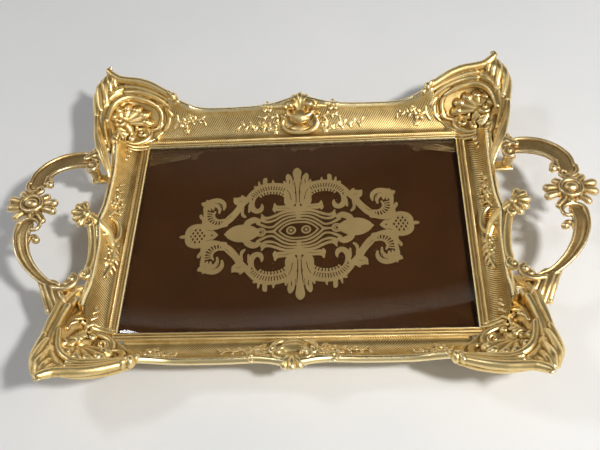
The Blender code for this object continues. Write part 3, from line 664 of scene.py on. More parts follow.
def on_long_cove(rows, shift=0.0):
    """Rows of x, y, lift and radius laid on the long rail's cove; shift is the place of x = 0."""
    return [(x, y, cove_height(long_rim, x + shift, y) + lift, r) for x, y, lift, r in rows]


def on_side_cove(rows):
    """Rows of x, y, lift and radius laid on the side rail's cove."""
    return [(x, y, cove_height(side_rim, y, x) + lift, r) for x, y, lift, r in rows]


# How far from the sight corner the casting reaches, at three places across a rail.
LONG_COVER = ((9.0, 17.0, 25.0), (1.0, 9.0, 17.0))
SIDE_COVER = ((9.0, 17.0, 23.0), (-5.0, -1.0, 13.0))
COVER_DEPTH = 4.2

MILL_PITCH = 1.7
HATCH_PITCH = 1.9
HATCH_DEPTH = 0.17


def sight_mouldings(along, u):
    """Height of the bead, the plain ridge and the milled ridge beside the sight edge."""
    milled = 0.26 * np.sin(2 * math.pi * (along / MILL_PITCH + 0.35 * u))
    ridge = (1.65 + milled) * bump(u - 6.0, 1.25)
    return -0.95 + 0.95 * bump(u - 0.9, 0.6) + 0.75 * bump(u - 3.2, 0.6) + ridge


def rail(name, half, rim, cover, stations, turn, material, node):
    """A mitred rail as a loft of fine sections; stations run between its two mitres."""
    share = np.linspace(-1, 1, stations)[:, None]
    flat_u = np.linspace(0.0, COVE_START, 34)[None, :] * np.ones_like(share)
    cove_t = np.linspace(0.0, 1.0, 34)[None, 1:]
    arc = np.radians(np.linspace(105.0, -20.0, 13))[None, :]

    def solved(of_u):
        """u and along, where u depends on along and along on u at the mitre."""
        u = of_u(share * half)
        for _ in range(4):
            u = of_u(share * (half + u - 0.15))
        return u, share * (half + u - 0.15)

    u1, a1 = solved(lambda a: flat_u)
    z1 = sight_mouldings(a1, u1)

    def cove_u(a):
        out = rim(a)[0]
        return COVE_START + (out - 0.8 * RIM_RADIUS - COVE_START) * cove_t

    u2, a2 = solved(cove_u)
    rise = rim(a2)[1]
    window = np.clip(np.minimum(cove_t * 14, (0.93 - cove_t) * 12), 0, 1)
    hatch = HATCH_DEPTH * window * np.sin(2 * math.pi * (a2 - 0.9 * u2) / HATCH_PITCH)
    z2 = COVE_FOOT + (rise + COVE_CLIMB) * cove_t**COVE_CURVE + hatch
    u3, a3 = solved(lambda a: rim(a)[0] + RIM_RADIUS * np.cos(arc))
    z3 = rim(a3)[1] + RIM_RADIUS * np.sin(arc)

    def sunk(z, a, u):
        """Lowers the rail where a corner casting covers it."""
        beyond = np.abs(a) - half
        inside = np.interp(u, *cover) + beyond
        share_down = np.clip(inside / 3.0, 0.0, 1.0)
        floor = dish(beyond, u) if half == HALF_LENGTH else dish(u, beyond)
        return z * (1 - share_down) + np.minimum(z, floor - COVER_DEPTH) * share_down

    def under_u(a):
        out = rim(a)[0]
        start = out - 1.12
        steps = np.array([0.0, 0.3, 0.6, 0.85, 1.0])[None, :]
        return start + (BASE_OUT - start) * steps

    u4, a4 = solved(under_u)
    steps = np.array([0.0, 0.3, 0.6, 0.85, 1.0])[None, :]
    start_z = rim(a4)[1] - RIM_RADIUS
    z4 = start_z + (-4.5 - start_z) * steps**0.8
    z2, z3, z4 = sunk(z2, a2, u2), sunk(z3, a3, u3), sunk(z4, a4, u4)
    bottom = RAIL_BOTTOM - SIGHT_Z
    u5, a5 = solved(lambda a: np.array([[14.0, 13.6, 4.9, 4.5, 4.5, 0.0]]) * np.ones_like(a[:, :1]))
    z5 = np.array(
        [[bottom + 0.4, bottom, bottom, bottom + 0.4, -LIP_THICKNESS, -LIP_THICKNESS]]
    ) * np.ones_like(share)
    u = np.hstack([u1, u2, u3, u4, u5])
    a = np.hstack([a1, a2, a3, a4, a5])
    z = np.hstack([z1, z2, z3, z4, z5]) + SIGHT_Z
    width = u.shape[1]
    across = (HALF_DEPTH if half == HALF_LENGTH else HALF_LENGTH) + u
    points = np.stack([a, across, z], -1).reshape(-1, 3)
    i, j = np.meshgrid(np.arange(stations - 1), np.arange(width), indexing="ij")
    k = (j + 1) % width
    quads = np.stack(
        [i * width + j, (i + 1) * width + j, (i + 1) * width + k, i * width + k], -1
    ).reshape(-1, 4)
    faces = quads.tolist()
    faces.append(list(range(width)))
    faces.append(list(range((stations - 1) * width + width - 1, (stations - 1) * width - 1, -1)))
    mesh = mesh_of(name, points, faces)
    mesh.transform(Matrix.Rotation(math.radians(turn), 4, "Z"))
    mesh.polygons.foreach_set("use_smooth", [True] * len(mesh.polygons))
    mesh.set_sharp_from_angle(angle=math.radians(50))
    mark_hollow_patina_shade(mesh, 2, 14, 0.06, 0.5)
    return stands_for(linked(name, mesh), "gilt", "frame", material, node)


LUG_PLACES = (48.0, -60.0)
LUG_REACH = 14.0
LUG_START = SIDE_RIM_OUT - 2.0
LUG_END = SIDE_RIM_OUT + RIM_RADIUS + LUG_REACH
LUG_WIDTH = 9.0
LUG_THICKNESS = 3.0
LUG_DROP = 1.2


def build_rails(material):
    """The four rails."""
    rail("gilt_rail_back", HALF_LENGTH, long_rim, LONG_COVER, 620, 0, material, "rail_back")
    rail("gilt_rail_front", HALF_LENGTH, long_rim, LONG_COVER, 620, 180, material, "rail_front")
    rail("gilt_rail_right", HALF_DEPTH, side_rim, SIDE_COVER, 440, -90, material, "rail_right")
    rail("gilt_rail_left", HALF_DEPTH, side_rim, SIDE_COVER, 440, 90, material, "rail_left")


# ---------------------------------------------------------------- corner castings


def dish(x, y):
    """Height above the sight plane of a corner's hollow shell, x and y outward from the corner."""
    dx = np.maximum(0.0, x - 5.0) / 31.0
    dy = np.maximum(0.0, y - 5.0) / 38.0
    far = (dx**2.2 + dy**2.2 + 1e-9) ** (1 / 2.2)
    lean = dy / (dx + dy + 1e-9)
    return -1.0 + (26.0 + 7.0 * lean) * np.minimum(far, 1.04) ** 1.9


INNER_EDGE = [
    (-19, 25, 9), (-12, 17, 3.5), (-4, 9, 2), (3, 4, 2), (10, 1, 2), (17, -2, 5), (22, -10, 9),
    (24, -20, 11)
]
OUTER_EDGE = [
    (-19, 36, 24), (-6, 42.5, 28), (12, 46, 32), (32, 40, 32), (38, 20, 27), (34, 0, 23), (29, -16, 21)
]
SHELL_THICKNESS = 3.2


def corner_dish(clay):
    """The hollow shell between the sight corner and the lip."""
    inner = smooth([(*p, 0) for p in INNER_EDGE], 1.0)
    outer = smooth([(*p, 0) for p in OUTER_EDGE], 1.0)
    count = 48
    share = np.linspace(0, 1, count)
    pick = [np.interp(share * (len(inner) - 1), np.arange(len(inner)), inner[:, k]) for k in range(3)]
    inner = np.stack(pick, -1)
    pick = [np.interp(share * (len(outer) - 1), np.arange(len(outer)), outer[:, k]) for k in range(3)]
    outer = np.stack(pick, -1)
    across = np.linspace(0, 1, 26)[None, :, None]
    top = inner[:, None, :] + (outer - inner)[:, None, :] * across
    t = across[..., 0]
    floor = dish(top[..., 0], top[..., 1])
    from_inner = (inner[:, 2] - floor[:, 0])[:, None] * np.exp(-6 * t)
    from_outer = (outer[:, 2] - floor[:, -1])[:, None] * np.exp(-6 * (1 - t))
    top[..., 2] = floor + from_inner + from_outer
    low = top.copy()
    low[..., 2] -= SHELL_THICKNESS
    points = np.vstack([top.reshape(-1, 3), low.reshape(-1, 3)])
    rows, columns = count, across.shape[1]
    half = rows * columns
    faces = []
    for i in range(rows - 1):
        for j in range(columns - 1):
            a, b = i * columns + j, (i + 1) * columns + j
            faces.append((a, b, b + 1, a + 1))
            faces.append((half + a, half + a + 1, half + b + 1, half + b))
    for i in range(rows - 1):
        a, b = i * columns, (i + 1) * columns
        faces.append((a, half + a, half + b, b))
        a, b = a + columns - 1, b + columns - 1
        faces.append((a, b, half + b, half + a))
    for j in range(columns - 1):
        faces.append((j, j + 1, half + j + 1, half + j))
        a = (rows - 1) * columns + j
        faces.append((a, half + a, half + a + 1, a + 1))
    clay.add(points, faces)


def corner_lip(clay):
    """The triple moulding that sweeps up from the rim to the horn."""
    lip = [(-21.5, 34.5, 23.5, 3), (-12, 39.1, 26.6, 3.2), (-2, 43.4, 30.3, 3.4), (8, 45.8, 32.7, 3.4)]
    lip += [(18, 46.5, 34, 3.4), (26, 47.5, 35.6, 3.4), (30.5, 49.8, 37, 3.2)]
    bar(clay, lip)
    bar(
        clay,
        [
            (-19, 32, 21.6, 1.4), (-10, 36, 24.8, 1.6), (0, 39.4, 28, 1.7), (9, 41.2, 30.4, 1.7),
            (19, 41.6, 32, 1.6)
        ]
    )
    bar(
        clay,
        [
            (-17, 29.8, 18, 1.6), (-8, 34.4, 23, 1.9), (1, 37.2, 26, 2.1), (10, 38.6, 28, 2.1),
            (19, 37.6, 29.8, 2)
        ]
    )
    ball(clay, (-21.3, 34.8, 23.8), (3.2, 4.6, 4.6))
    ball(clay, (-17.8, 37, 25.2), (1.9, 4.2, 4.2), -28)
    ball(clay, (-24.2, 31.6, 21.6), (2.4, 3.6, 3.6), -20)
    horn = [
        (27, 48, 36, 3.6), (31, 50.4, 38, 3.2), (33.4, 52.8, 39.8, 2.3), (32.6, 54.6, 40.6, 1.5),
        (30.8, 54.6, 40.6, 1.1)
    ]
    bar(clay, horn)


def corner_shell(clay):
    """The scrolled rim inside the lip and the scallop that it shelters, with its volute."""
    rim = [
        (-7, 30.6, 18, 1.6), (0.6, 33.4, 21.4, 2.4), (8, 35, 23.6, 2.9), (14, 35.6, 25, 3),
        (20, 34, 26, 3)
    ]
    rim += [(25.4, 30, 26.2, 2.9), (29, 24.4, 25.6, 2.6), (31, 17.6, 24.6, 2.3), (32, 10.5, 23.8, 2)]
    bar(clay, rim)
    lobes = [
        (29, 18.6, 20), (25.6, 26, 20), (18.4, 29.8, 18.4), (10.6, 29.8, 16), (3.8, 26.8, 12.8),
        (1.4, 21.2, 8.6)
    ]
    heart = (22, 17, 13.6)
    for tip in lobes:
        root = [h + 0.2 * (t - h) for h, t in zip(heart, tip)]
        finger(clay, root, tip, 1.6, 4.2, 0.0, 0.7)
        edge = [h + 0.9 * (t - h) for h, t in zip(heart, tip)]
        ball(clay, (edge[0], edge[1], edge[2] + 1.8), (3.2, 3.2, 1.9))
    bar(clay, spiral((24.4, 16.4, 15.6), 200, 560, 4.6, 1.0, 1.8, (2.0, 1.5)))
    ball(clay, (24.4, 16.4, 17), (1.9, 1.9, 1.9))
    bar(clay, [(21, 20.4, 15.6, 1.8), (16.4, 22.4, 13, 2.1), (12.8, 20.4, 10, 2), (11.6, 16.6, 7.4, 1.7)])
    bar(
        clay,
        [(22.4, 15.4, 14.6, 2.4), (19.4, 15.6, 11.8, 3.4), (16.8, 13.4, 8.8, 3.2), (15.6, 11, 6.6, 2.2)]
    )
    leaf(clay, [(26, 12.6, 15, 1.7), (24, 8.4, 12.6, 1.9), (21.4, 4, 10, 1.6)], 3, 4.0, 0.7)


def corner_tip(clay):
    """The small scrolls, collar and boss where the casting meets the sight corner."""
    hook = [
        (12.4, 15.6, 6, 1.5), (6.8, 17.6, 5, 2), (2.2, 16.6, 4, 2.2), (0.4, 12.6, 2.8, 2.3),
        (2.8, 7.8, 2.2, 2.3)
    ]
    hook += [(7.8, 4.6, 2.2, 2.2), (13.6, 2.6, 3.2, 2), (18.6, 2.6, 5.6, 1.7)]
    bar(clay, hook)
    bar(clay, spiral((7.4, 12.6, 4.6), 120, 430, 4.0, 1.0, 0.8, (1.7, 1.3)))
    ball(clay, (15.4, 6.6, 5), (3.6, 3.2, 3))
    bar(
        clay,
        [
            (1.4, 1.2, 0.8, 1.0), (7, 0.2, 1.6, 1.3), (12.6, -0.8, 3, 1.5), (18, -1.6, 6.4, 1.6),
            (22.4, -3, 11, 1.5)
        ]
    )
    bar(clay, [(2, -1.6, 0.6, 0.8), (8, -2.8, 1.2, 1), (13, -3.6, 3, 1.2), (18.4, -4.6, 7, 1.2)])
    under = [
        (5.6, 18.6, 5, 1.5), (0, 16.6, 4, 1.6), (-6.4, 17.6, 4.6, 1.7), (-9.4, 20.2, 6.4, 1.7),
        (-8, 22.6, 8, 1.4)
    ]
    bar(clay, under)
    crescents = [
        [(-19.4, 17.4, 4, 1.2), (-22.4, 21.6, 7, 1.8), (-22.8, 26.6, 11.8, 2), (-20.6, 30.6, 17, 1.5)]
    ]
    crescents += [
        [(-11.6, 16.4, 3.6, 1.2), (-15, 20.4, 6, 1.8), (-16, 25.6, 10.6, 2.1), (-13.6, 30, 15.6, 1.5)]
    ]
    crescents += [
        [(-4.4, 17, 4, 1.0), (-9, 22, 8, 1.6), (-9.4, 27.6, 13.4, 1.9), (-5.6, 31.6, 18.6, 1.5)]
    ]
    for row in crescents:
        bar(clay, row)
    finger(clay, (-13.4, 30.8, 17), (-18.4, 25.6, 12.6), 1.4, 2.2, 0.6, 0.8)


def corner_side(clay, back):
    """The leaf that folds over from the horn, the blade that trails from it and the leaves on the cove."""
    ball(clay, (35.4, 33, 25.6), (6.0, 11, 5.8), -6)
    bar(clay, [(x, y, z - 3.4, 3.0) for x, y, z in OUTER_EDGE])
    bar(
        clay,
        [(30, 42, 31, 3.4), (35, 30, 27, 3.4), (36.4, 16, 24, 3.2), (35, 4, 22, 3), (31, -10, 21, 2.8)]
    )
    lobes = [[(31, 49.4, 36.4, 2.2), (28.6, 45.4, 35.6, 2.6), (27.4, 41.6, 33.2, 1.9)]]
    lobes += [[(33, 49.2, 36.4, 2.4), (32, 43, 35.4, 2.8), (30.8, 37.2, 32.2, 2)]]
    lobes += [[(35.6, 48, 35.4, 2.6), (36, 40, 35, 3), (34.4, 32, 31.6, 2.3), (33.4, 27.6, 28.8, 1.6)]]
    lobes += [
        [(38, 46.4, 33.6, 2.6), (40.4, 38, 33.2, 3.1), (39.6, 28, 30.4, 2.6), (37.8, 19.6, 27.6, 2)]
    ]
    lobes += [[(39.4, 44, 30, 2.4), (43, 34.6, 29.2, 2.8), (42.6, 24.6, 27.6, 2.6), (40.8, 15, 26, 2.2)]]
    lobes += [[(39, 43, 26, 2.2), (42.4, 33, 24.6, 2.6), (42, 23, 24, 2.2)]]
    for row in lobes:
        bar(clay, row)
    if back:
        trail = [(41, 17, 26, 2.4), (39.4, 7, 25.4, 2.6), (36.8, -4, 26, 3.2), (33.4, -14, 27, 4)]
        trail += [
            (29.8, -24, 27, 4.4), (26, -33.6, 25, 3.8), (23, -41, 22, 2.8), (21.8, -45.6, 19.6, 1.8)
        ]
    else:
        trail = [(41, 16, 26, 2.4), (39.4, 6, 25, 2.8), (37.4, -4, 23, 3.4), (36.4, -13, 20, 3.9)]
        trail += [(34.8, -21.6, 16.8, 3.8), (31, -28, 13.4, 3.2), (25.6, -31.4, 10.6, 2.2)]
    blade_up = (-0.55, 0.0, 1.0)
    bar(clay, trail, 0.5, blade_up, 14)
    ridge = [(x, y, z + 0.42 * r, 0.28 * r) for x, y, z, r in trail]
    bar(clay, ridge)
    for k in range(4):
        x, y, z, r = trail[1 + k // 2]
        step = 5.0 * (k % 2)
        ball(clay, (x - 3.0 - 0.3 * step, y - step, z - 3.2), (1.9, 1.9, 1.9))
    inner = [
        (29.6, 5, 17.6, 1.8), (28.2, -2.6, 16, 2.1), (25.4, -8, 12.8, 2.1), (23.6, -14, 11.2, 2),
        (23, -21, 10.4, 1.5)
    ]
    leaf(clay, inner, 5, 4.4, 0.7)
    leaf(
        clay, [(20, 3, 9, 1.6), (19, -5, 8.6, 2.0), (18.6, -12, 8, 1.9), (17.6, -19, 6.4, 1.3)], 4, 4.0,
        0.7
    )


def corner_rose(clay):
    """The rose on the long rail's cove beside the corner, and its spray."""
    lean = (0, -0.6, 1)
    for x, y, size in ((-28.5, 20.5, 5.2), (-33.6, 23.6, 3.4), (-30.6, 15.6, 3.0)):
        place = on_long_cove([(x, y, 1.0, 0)], HALF_LENGTH)[0]
        flower(clay, place[:3], size, lean)
    spray(
        clay,
        on_long_cove(
            [(-30, 21, 0.8, 1), (-36, 22, 0.8, 0.9), (-42, 23, 0.8, 0.7), (-47, 22, 0.8, 0.5)],
            HALF_LENGTH
        ),
        6, 3.2, lean
    )


def corner_casting(name, back):
    """One corner, built outward from the sight corner and moved to the right-hand back corner."""
    clay = Clay()
    corner_dish(clay)
    corner_lip(clay)
    corner_shell(clay)
    corner_tip(clay)
    corner_side(clay, back)
    corner_rose(clay)
    clay.points = [clay.all_points() + np.array([HALF_LENGTH, HALF_DEPTH, SIGHT_Z])]
    return cast(name, clay)


def build_corners(material):
    """The four corner castings, each pair mirrored from one."""
    for back in (True, False):
        end = "back" if back else "front"
        side_y = 1 if back else -1
        master = corner_casting("corner_master", back)
        for hand, side_x in (("left", -1), ("right", 1)):
            made = flipped_copy(master, f"cast_corner_{end}_{hand}", side_x, side_y)
            stands_for(made, "gilt", "frame", material, f"corner_{end}_{hand}")
        bpy.data.objects.remove(master)


# ---------------------------------------------------------------- crests


def crest_casting(name):
    """The palmette, swag and sprays in the middle of the back rail; x along it, y outward."""
    clay = Clay()
    lean = (0, -0.6, 1)
    ball(clay, (0, 22.4, 9), (10.5, 8, 5))
    for k in range(5):
        turn = math.radians(-62 + 31 * k)
        tip = (9.6 * math.sin(turn), 28.6 + 8.6 * math.cos(turn), 18.6 - 1.2 * abs(k - 2))
        finger(clay, (2.2 * math.sin(turn), 26.4, 13.4), tip, 1.8, 2.9, 2.2, 0.85)
    for hand in (-1, 1):
        start, end = (-20, 330) if hand > 0 else (200, -150)
        bar(clay, spiral((hand * 8.4, 27.4, 16.4), start, end, 3.8, 0.9, 2.2, (2.0, 1.6)))
        arm = [(hand * 7, 27.6, 14, 2.6), (hand * 14, 28.4, 14, 2.6), (hand * 24, 28.6, 12.8, 2.2)]
        arm += [(hand * 34, 27.4, 10.6, 1.6), (hand * 42, 26.4, 9, 0.9)]
        bar(clay, arm)
        flower(clay, (hand * 27.5, 28.2, 14.4), 5.4, (0, -0.35, 1))
        crescent = [(hand * 10.8, 23.6, 13, 1.4), (hand * 7.4, 20.2, 11.6, 2.0), (0, 18.6, 11, 2.3)]
        bar(clay, crescent)
        low = [
            (hand * 13.4, 20.6, 9.4, 1.5), (hand * 14.6, 15.6, 5.6, 1.9), (hand * 10.6, 11.4, 3.2, 2.0)
        ]
        low += [(hand * 5, 10, 2.4, 1.9), (0, 9.8, 2.2, 1.9)]
        bar(clay, low)
        bar(
            clay,
            spiral(
                (hand * 13, 22, 10.8), -90 if hand > 0 else 270, 200 if hand > 0 else -20, 2.8, 1.0, 0.6,
                (1.5, 1.2)
            )
        )
        for x, y, size in (
            (19.4, 18.6, 4.0), (25.6, 15.4, 3.2), (31.4, 18, 3.2), (41, 17.6, 2.8), (21, 12.6, 2.8)
        ):
            place = on_long_cove([(hand * x, y, 1.0, 0)])[0]
            flower(clay, place[:3], size, lean)
        stem = [(hand * 16, 15, 1.0, 1.1), (hand * 26, 16.6, 1.0, 1.1), (hand * 36, 17.4, 0.9, 0.9)]
        stem += [(hand * 46, 18, 0.8, 0.7), (hand * 52, 18.6, 0.8, 0.5)]
        spray(clay, on_long_cove(stem), 10, 3.6, lean)
        upper = [(hand * 17, 22, 1.0, 1.0), (hand * 25, 23, 1.0, 0.9), (hand * 34, 22, 0.8, 0.6)]
        spray(clay, on_long_cove(upper), 5, 2.8, lean)
    ball(clay, (0, 14.2, 3.2), (9.0, 4.6, 2.6))
    clay.points = [clay.all_points() + np.array([0.0, HALF_DEPTH, SIGHT_Z])]
    return cast(name, clay)


def build_crests(material):
    """The back crest and the front crest, from one casting."""
    master = crest_casting("crest_master")
    for end, side_y in (("back", 1), ("front", -1)):
        made = flipped_copy(master, f"cast_crest_{end}", 1, side_y)
        stands_for(made, "gilt", "frame", material, f"crest_{end}")
    bpy.data.objects.remove(master)


# ---------------------------------------------------------------- side cartouches


def cartouche_casting(name):
    """The shell, flowers, scrolls and long leaf on the right side rail; x outward from the sight edge."""
    clay = Clay()
    bar(clay, [(31, 3, 16, 5.4), (25, 0, 12.6, 5), (18, -6, 7.4, 4), (14.6, -14, 4.6, 2.8)], 0.75)
    for x, y, z in (
        (35.6, 13, 20.4), (40.2, 10.8, 21), (42.4, 5.4, 21), (40.6, -0.4, 20.4), (36.6, -4.6, 19.6)
    ):
        finger(clay, (32.5, 4.2, 18.4), (x, y, z), 2.0, 3.0, 1.4, 0.85)
    ball(clay, (33, 4.4, 20), (3.6, 3.6, 3))
    bar(clay, spiral((31.4, -3.4, 17.6), 60, 400, 3.6, 1.0, 1.2, (1.9, 1.4)))
    bar(
        clay,
        [
            (24.6, 6, 12.4, 1.8), (20.8, 2.4, 9.4, 2.2), (18.4, -2.6, 8, 2.3), (20, -7.4, 9, 2.1),
            (24, -8.4, 12, 1.8)
        ]
    )
    bar(
        clay,
        [
            (18, 11, 6.4, 1.6), (13.4, 7, 4.6, 1.9), (11, 0.6, 3.6, 2), (11, -7, 3.4, 2),
            (14.4, -11.6, 4.6, 1.8), (17.6, -9.6, 6.6, 1.5)
        ]
    )
    lean = (-0.6, 0, 1)
    flowers = (
        (14.6, 18, 3.8), (18, 23.4, 4.2), (13.6, 26, 3.4), (17, 31.4, 3.2), (14.6, -18.4, 4.2),
        (15, -27.6, 4.6)
    )
    for x, y, size in (*flowers, (11.4, -23, 3.0), (17.8, 38, 2.6)):
        flower(clay, on_side_cove([(x, y, 1.0, 0)])[0][:3], size, lean)
    stem = [
        (18.6, 10, 1.2, 1.4), (16.6, 18, 1.0, 1.2), (15.6, 27, 1.0, 1), (16.4, 36, 0.9, 0.8),
        (17, 44, 0.8, 0.6)
    ]
    spray(clay, on_side_cove(stem), 10, 3.2, lean)
    long_leaf = [(13.6, -12, 1.6, 1.8), (13, -24, 1.4, 1.8), (13.6, -34, 1.4, 1.6), (15.6, -43, 1.2, 1.2)]
    leaf(clay, on_side_cove(long_leaf), 6, 3.8, 0.7, lean)
    band = [(28.6, -6, 16.6, 3), (25.6, -20, 15, 3), (24.2, -34, 14.6, 3), (24.8, -43.4, 15.6, 2.8)]
    bar(clay, band, 0.8)
    bar(clay, spiral((26, -48.6, 16.6), 120, 440, 4.4, 1.2, 1.4, (2.2, 1.6)))
    ball(clay, (26, -48.6, 17.6), (2.4, 2.4, 2.2))
    clay.points = [clay.all_points() + np.array([HALF_LENGTH, 0.0, SIGHT_Z])]
    return cast(name, clay)


def build_cartouches(material):
    """The two cartouches, from one casting."""
    master = cartouche_casting("cartouche_master")
    for hand, side_x in (("left", -1), ("right", 1)):
        made = flipped_copy(master, f"cast_cartouche_{hand}", side_x, 1)
        stands_for(made, "gilt", "frame", material, f"cartouche_{hand}")
    bpy.data.objects.remove(master)


# ---------------------------------------------------------------- handles

HANDLE_ARM = [(33.5, 46, 25, 4.6), (35.5, 51.5, 25, 6.2), (44, 53.5, 25, 7.4), (55, 51, 26, 7.6)]
HANDLE_ARM += [(64.5, 44.5, 27.5, 7.4), (70.8, 35, 29, 7.2), (72, 26, 30, 7)]
HANDLE_LOWER = [
    (73, -12.5, 29, 5.8), (74.6, -22, 28.4, 6), (71, -35.6, 26.6, 5.2), (62.6, -48, 24.6, 4.2)
]
HANDLE_LOWER += [(51, -58, 22.8, 3.3), (41, -62, 22, 2.7)]


def handle_casting(name):
    """The right handle: two channelled arms that end in scrolls, an oval boss between them, a leaf foot."""
    clay = Clay()
    channel(clay, HANDLE_ARM)
    bar(clay, spiral((35.4, 45.4, 26.6), 100, 440, 5.0, 1.2, 0.6, (1.9, 1.5)))
    ball(clay, (35.2, 45.2, 24), (4.4, 4.4, 3.2))
    curl = [(79.4, 27, 31, 1.6), (79, 21.4, 31.4, 1.8), (75, 17.4, 31.6, 1.9), (69.6, 16, 31.8, 1.8)]
    curl += [(66.2, 18.6, 32, 1.6), (67.6, 21.8, 32.2, 1.4), (70.4, 20.8, 32.2, 1.2)]
    bar(clay, curl)
    bar(clay, [(66, 33, 30, 1.6), (62.6, 29.6, 30.4, 1.9), (61.6, 25.6, 30.8, 2.2)])
    ball(clay, (62.4, 24.8, 31), (3.3, 3.1, 3.0))
    handle_boss(clay)
    channel(clay, HANDLE_LOWER)
    coil = [(79.8, -17, 30, 1.6), (78.6, -11.4, 30.6, 1.7), (73, -8, 31, 1.8), (66.4, -8.4, 31.2, 1.8)]
    coil += [
        (62.4, -12.4, 31.2, 1.7), (63.6, -17, 31.2, 1.6), (67.6, -17.4, 31.2, 1.5),
        (68.4, -14.4, 31.2, 1.3)
    ]
    bar(clay, coil)
    bar(
        clay, [(69, -28, 28.6, 1.6), (68, -23.6, 29, 1.8), (64.6, -22.4, 29.2, 1.9), (62.2, -25, 29.2, 2)]
    )
    ball(clay, (63, -25.6, 29), (3.2, 3, 3))
    hook = [
        (44, -63.4, 23, 1.9), (36, -64, 22.6, 2.2), (29.8, -60.8, 22.6, 2.1), (28.6, -55.6, 23, 1.9),
        (31.6, -52.4, 23.2, 1.6)
    ]
    bar(clay, hook)
    ball(clay, (32, -56.6, 23), (3.2, 3.2, 3))
    handle_foot(clay)
    root_leaf = [(40, 53, 28.6, 2.2), (34.6, 57, 28, 2.4), (31.4, 62.6, 26.8, 2), (30, 67.6, 25.4, 1.4)]
    leaf(clay, root_leaf, 4, 4.6, 0.7)
    bar(clay, [(34.8, 48, 25, 4.2), (34.8, 48, 20, 4.2), (34.8, 48, 14, 4)])
    bar(clay, [(34.8, -60, 21, 4.2), (34.8, -60, 16, 4.2), (34.8, -60, 11, 4)])
    clay.points = [clay.all_points() + np.array([HALF_LENGTH, 0.0, SIGHT_Z])]
    return cast(name, clay)


def handle_boss(clay):
    """The oval cabochon in its bead ring, with a two-lobed collar on each side and four small leaves."""
    x, y, z = 71.3, 5.0, 31.0
    ball(clay, (x, y, z - 1.0), (9.6, 10.4, 4.2))
    ring = [
        (
            x + 7.4 * math.cos(a), y + 7.0 * math.sin(a), z + 2.6, 1.7
        ) for a in np.linspace(0, 2 * math.pi, 25)
    ]
    bar(clay, ring)
    ball(clay, (x, y, z + 2.6), (5.4, 4.4, 3.4))
    for way, lean in ((1, 8.0), (-1, -12.0)):
        turn = math.radians(lean)
        for across in (-3.3, 3.3):
            root = (x + way * 7.5, y + 0.6 * across + 1.2 * way, z)
            tip = (
                x + way * (16.4 * math.cos(turn)),
                y + across * 1.15 + 16.4 * math.sin(abs(turn)) * way * 0.6, z + 0.4
            )
            finger(clay, root, tip, 2.4, 3.5, 0.6, 0.9)
        ball(clay, (x + way * 12, y + 1.6 * way, z - 0.4), (5, 4.6, 3.2))
    for dx, dy, size in (
        (10.0, 11.2, 3.0), (-9.2, 8.2, 3.0), (10.8, -10.6, 3.0), (-10.4, -14.0, 2.6), (0.6, 12.2, 3.4),
        (-1.6, -11.4, 3.2)
    ):
        root = (x + 0.5 * dx, y + 0.5 * dy, z)
        finger(clay, root, (x + dx, y + dy, z - 0.2), 2.8, size, 0.5, 0.85)


def handle_foot(clay):
    """The fluted leaf that spreads from the lower arm onto the rim."""
    flutes = [[(54.6, -58.4, 22, 1.8), (49.4, -69, 20.6, 2.4), (45.4, -79.4, 17.6, 1.9)]]
    flutes += [[(50, -60.6, 22.4, 2), (45, -71.4, 21, 2.6), (40.6, -82, 17.6, 2)]]
    flutes += [[(45, -62.4, 22.4, 2), (40.8, -72.4, 20.8, 2.6), (36.6, -81.6, 17.4, 2)]]
    flutes += [[(40.4, -63.6, 22, 2), (37, -70, 20.4, 2.4), (33.8, -76, 17.6, 1.9)]]
    for row in flutes:
        bar(clay, row)
    bar(clay, [(47, -61, 20, 6.4), (42.6, -70, 18.8, 6.6), (39, -77, 16.6, 4.8)], 0.4)
    for x, y in ((45.6, -79.6), (40.6, -82.4), (36.4, -81.8)):
        ball(clay, (x, y, 17.6), (2.4, 2.0, 2.2))


def build_handles(material):
    """The two handles, from one casting."""
    master = handle_casting("handle_master")
    for hand, side_x in (("left", -1), ("right", 1)):
        made = flipped_copy(master, f"cast_handle_{hand}", side_x, 1)
        stands_for(made, "bronze_gilt", "frame", material, f"handle_{hand}")
    bpy.data.objects.remove(master)


# ---------------------------------------------------------------- glass, lace, cloth


def bevelled_plate(name, low, high, edge, steps):
    """A plate with rounded edges, from its two corners."""
    form = bmesh.new()
    bmesh.ops.create_cube(form, size=1.0)
    for vert in form.verts:
        for axis in range(3):
            vert.co[axis] = (low[axis] if vert.co[axis] < 0 else high[axis]) * MM
    bmesh.ops.bevel(
        form, geom=form.edges[:], offset=edge * MM, segments=steps, profile=0.5, affect="EDGES"
    )
    mesh = bpy.data.meshes.new(name)
    form.to_mesh(mesh)
    form.free()
    mesh.polygons.foreach_set("use_smooth", [True] * len(mesh.polygons))
    mesh.set_sharp_from_angle(angle=math.radians(35))
    return linked(name, mesh)


def build_lugs(material):
    """The ears of the side rails that the handles stand on."""
    for hand, side in (("left", -1), ("right", 1)):
        for k, y in enumerate(LUG_PLACES):
            top = SIGHT_Z + side_rim(y)[1] - LUG_DROP
            ends = sorted((side * (HALF_LENGTH + LUG_START), side * (HALF_LENGTH + LUG_END)))
            low = (ends[0], y - LUG_WIDTH / 2, top - LUG_THICKNESS)
            high = (ends[1], y + LUG_WIDTH / 2, top)
            ear = bevelled_plate(f"gilt_lug_{hand}_{k + 1}", low, high, 0.9, 3)
            stands_for(ear, "gilt", "frame", material, f"rail_{hand}")


def build_glass(material):
    """The glass plate."""
    plate = bevelled_plate("polished_glass_plate", GLASS_LOW, GLASS_HIGH, 0.5, 3)
    stands_for(plate, "glass", "frame", material, "glass_plate")


LACE_REACH = np.array([92.6, 62.4])
LACE_CELL = 0.45
LACE_TURN = 2.5
LACE_SHIFT = 1.9

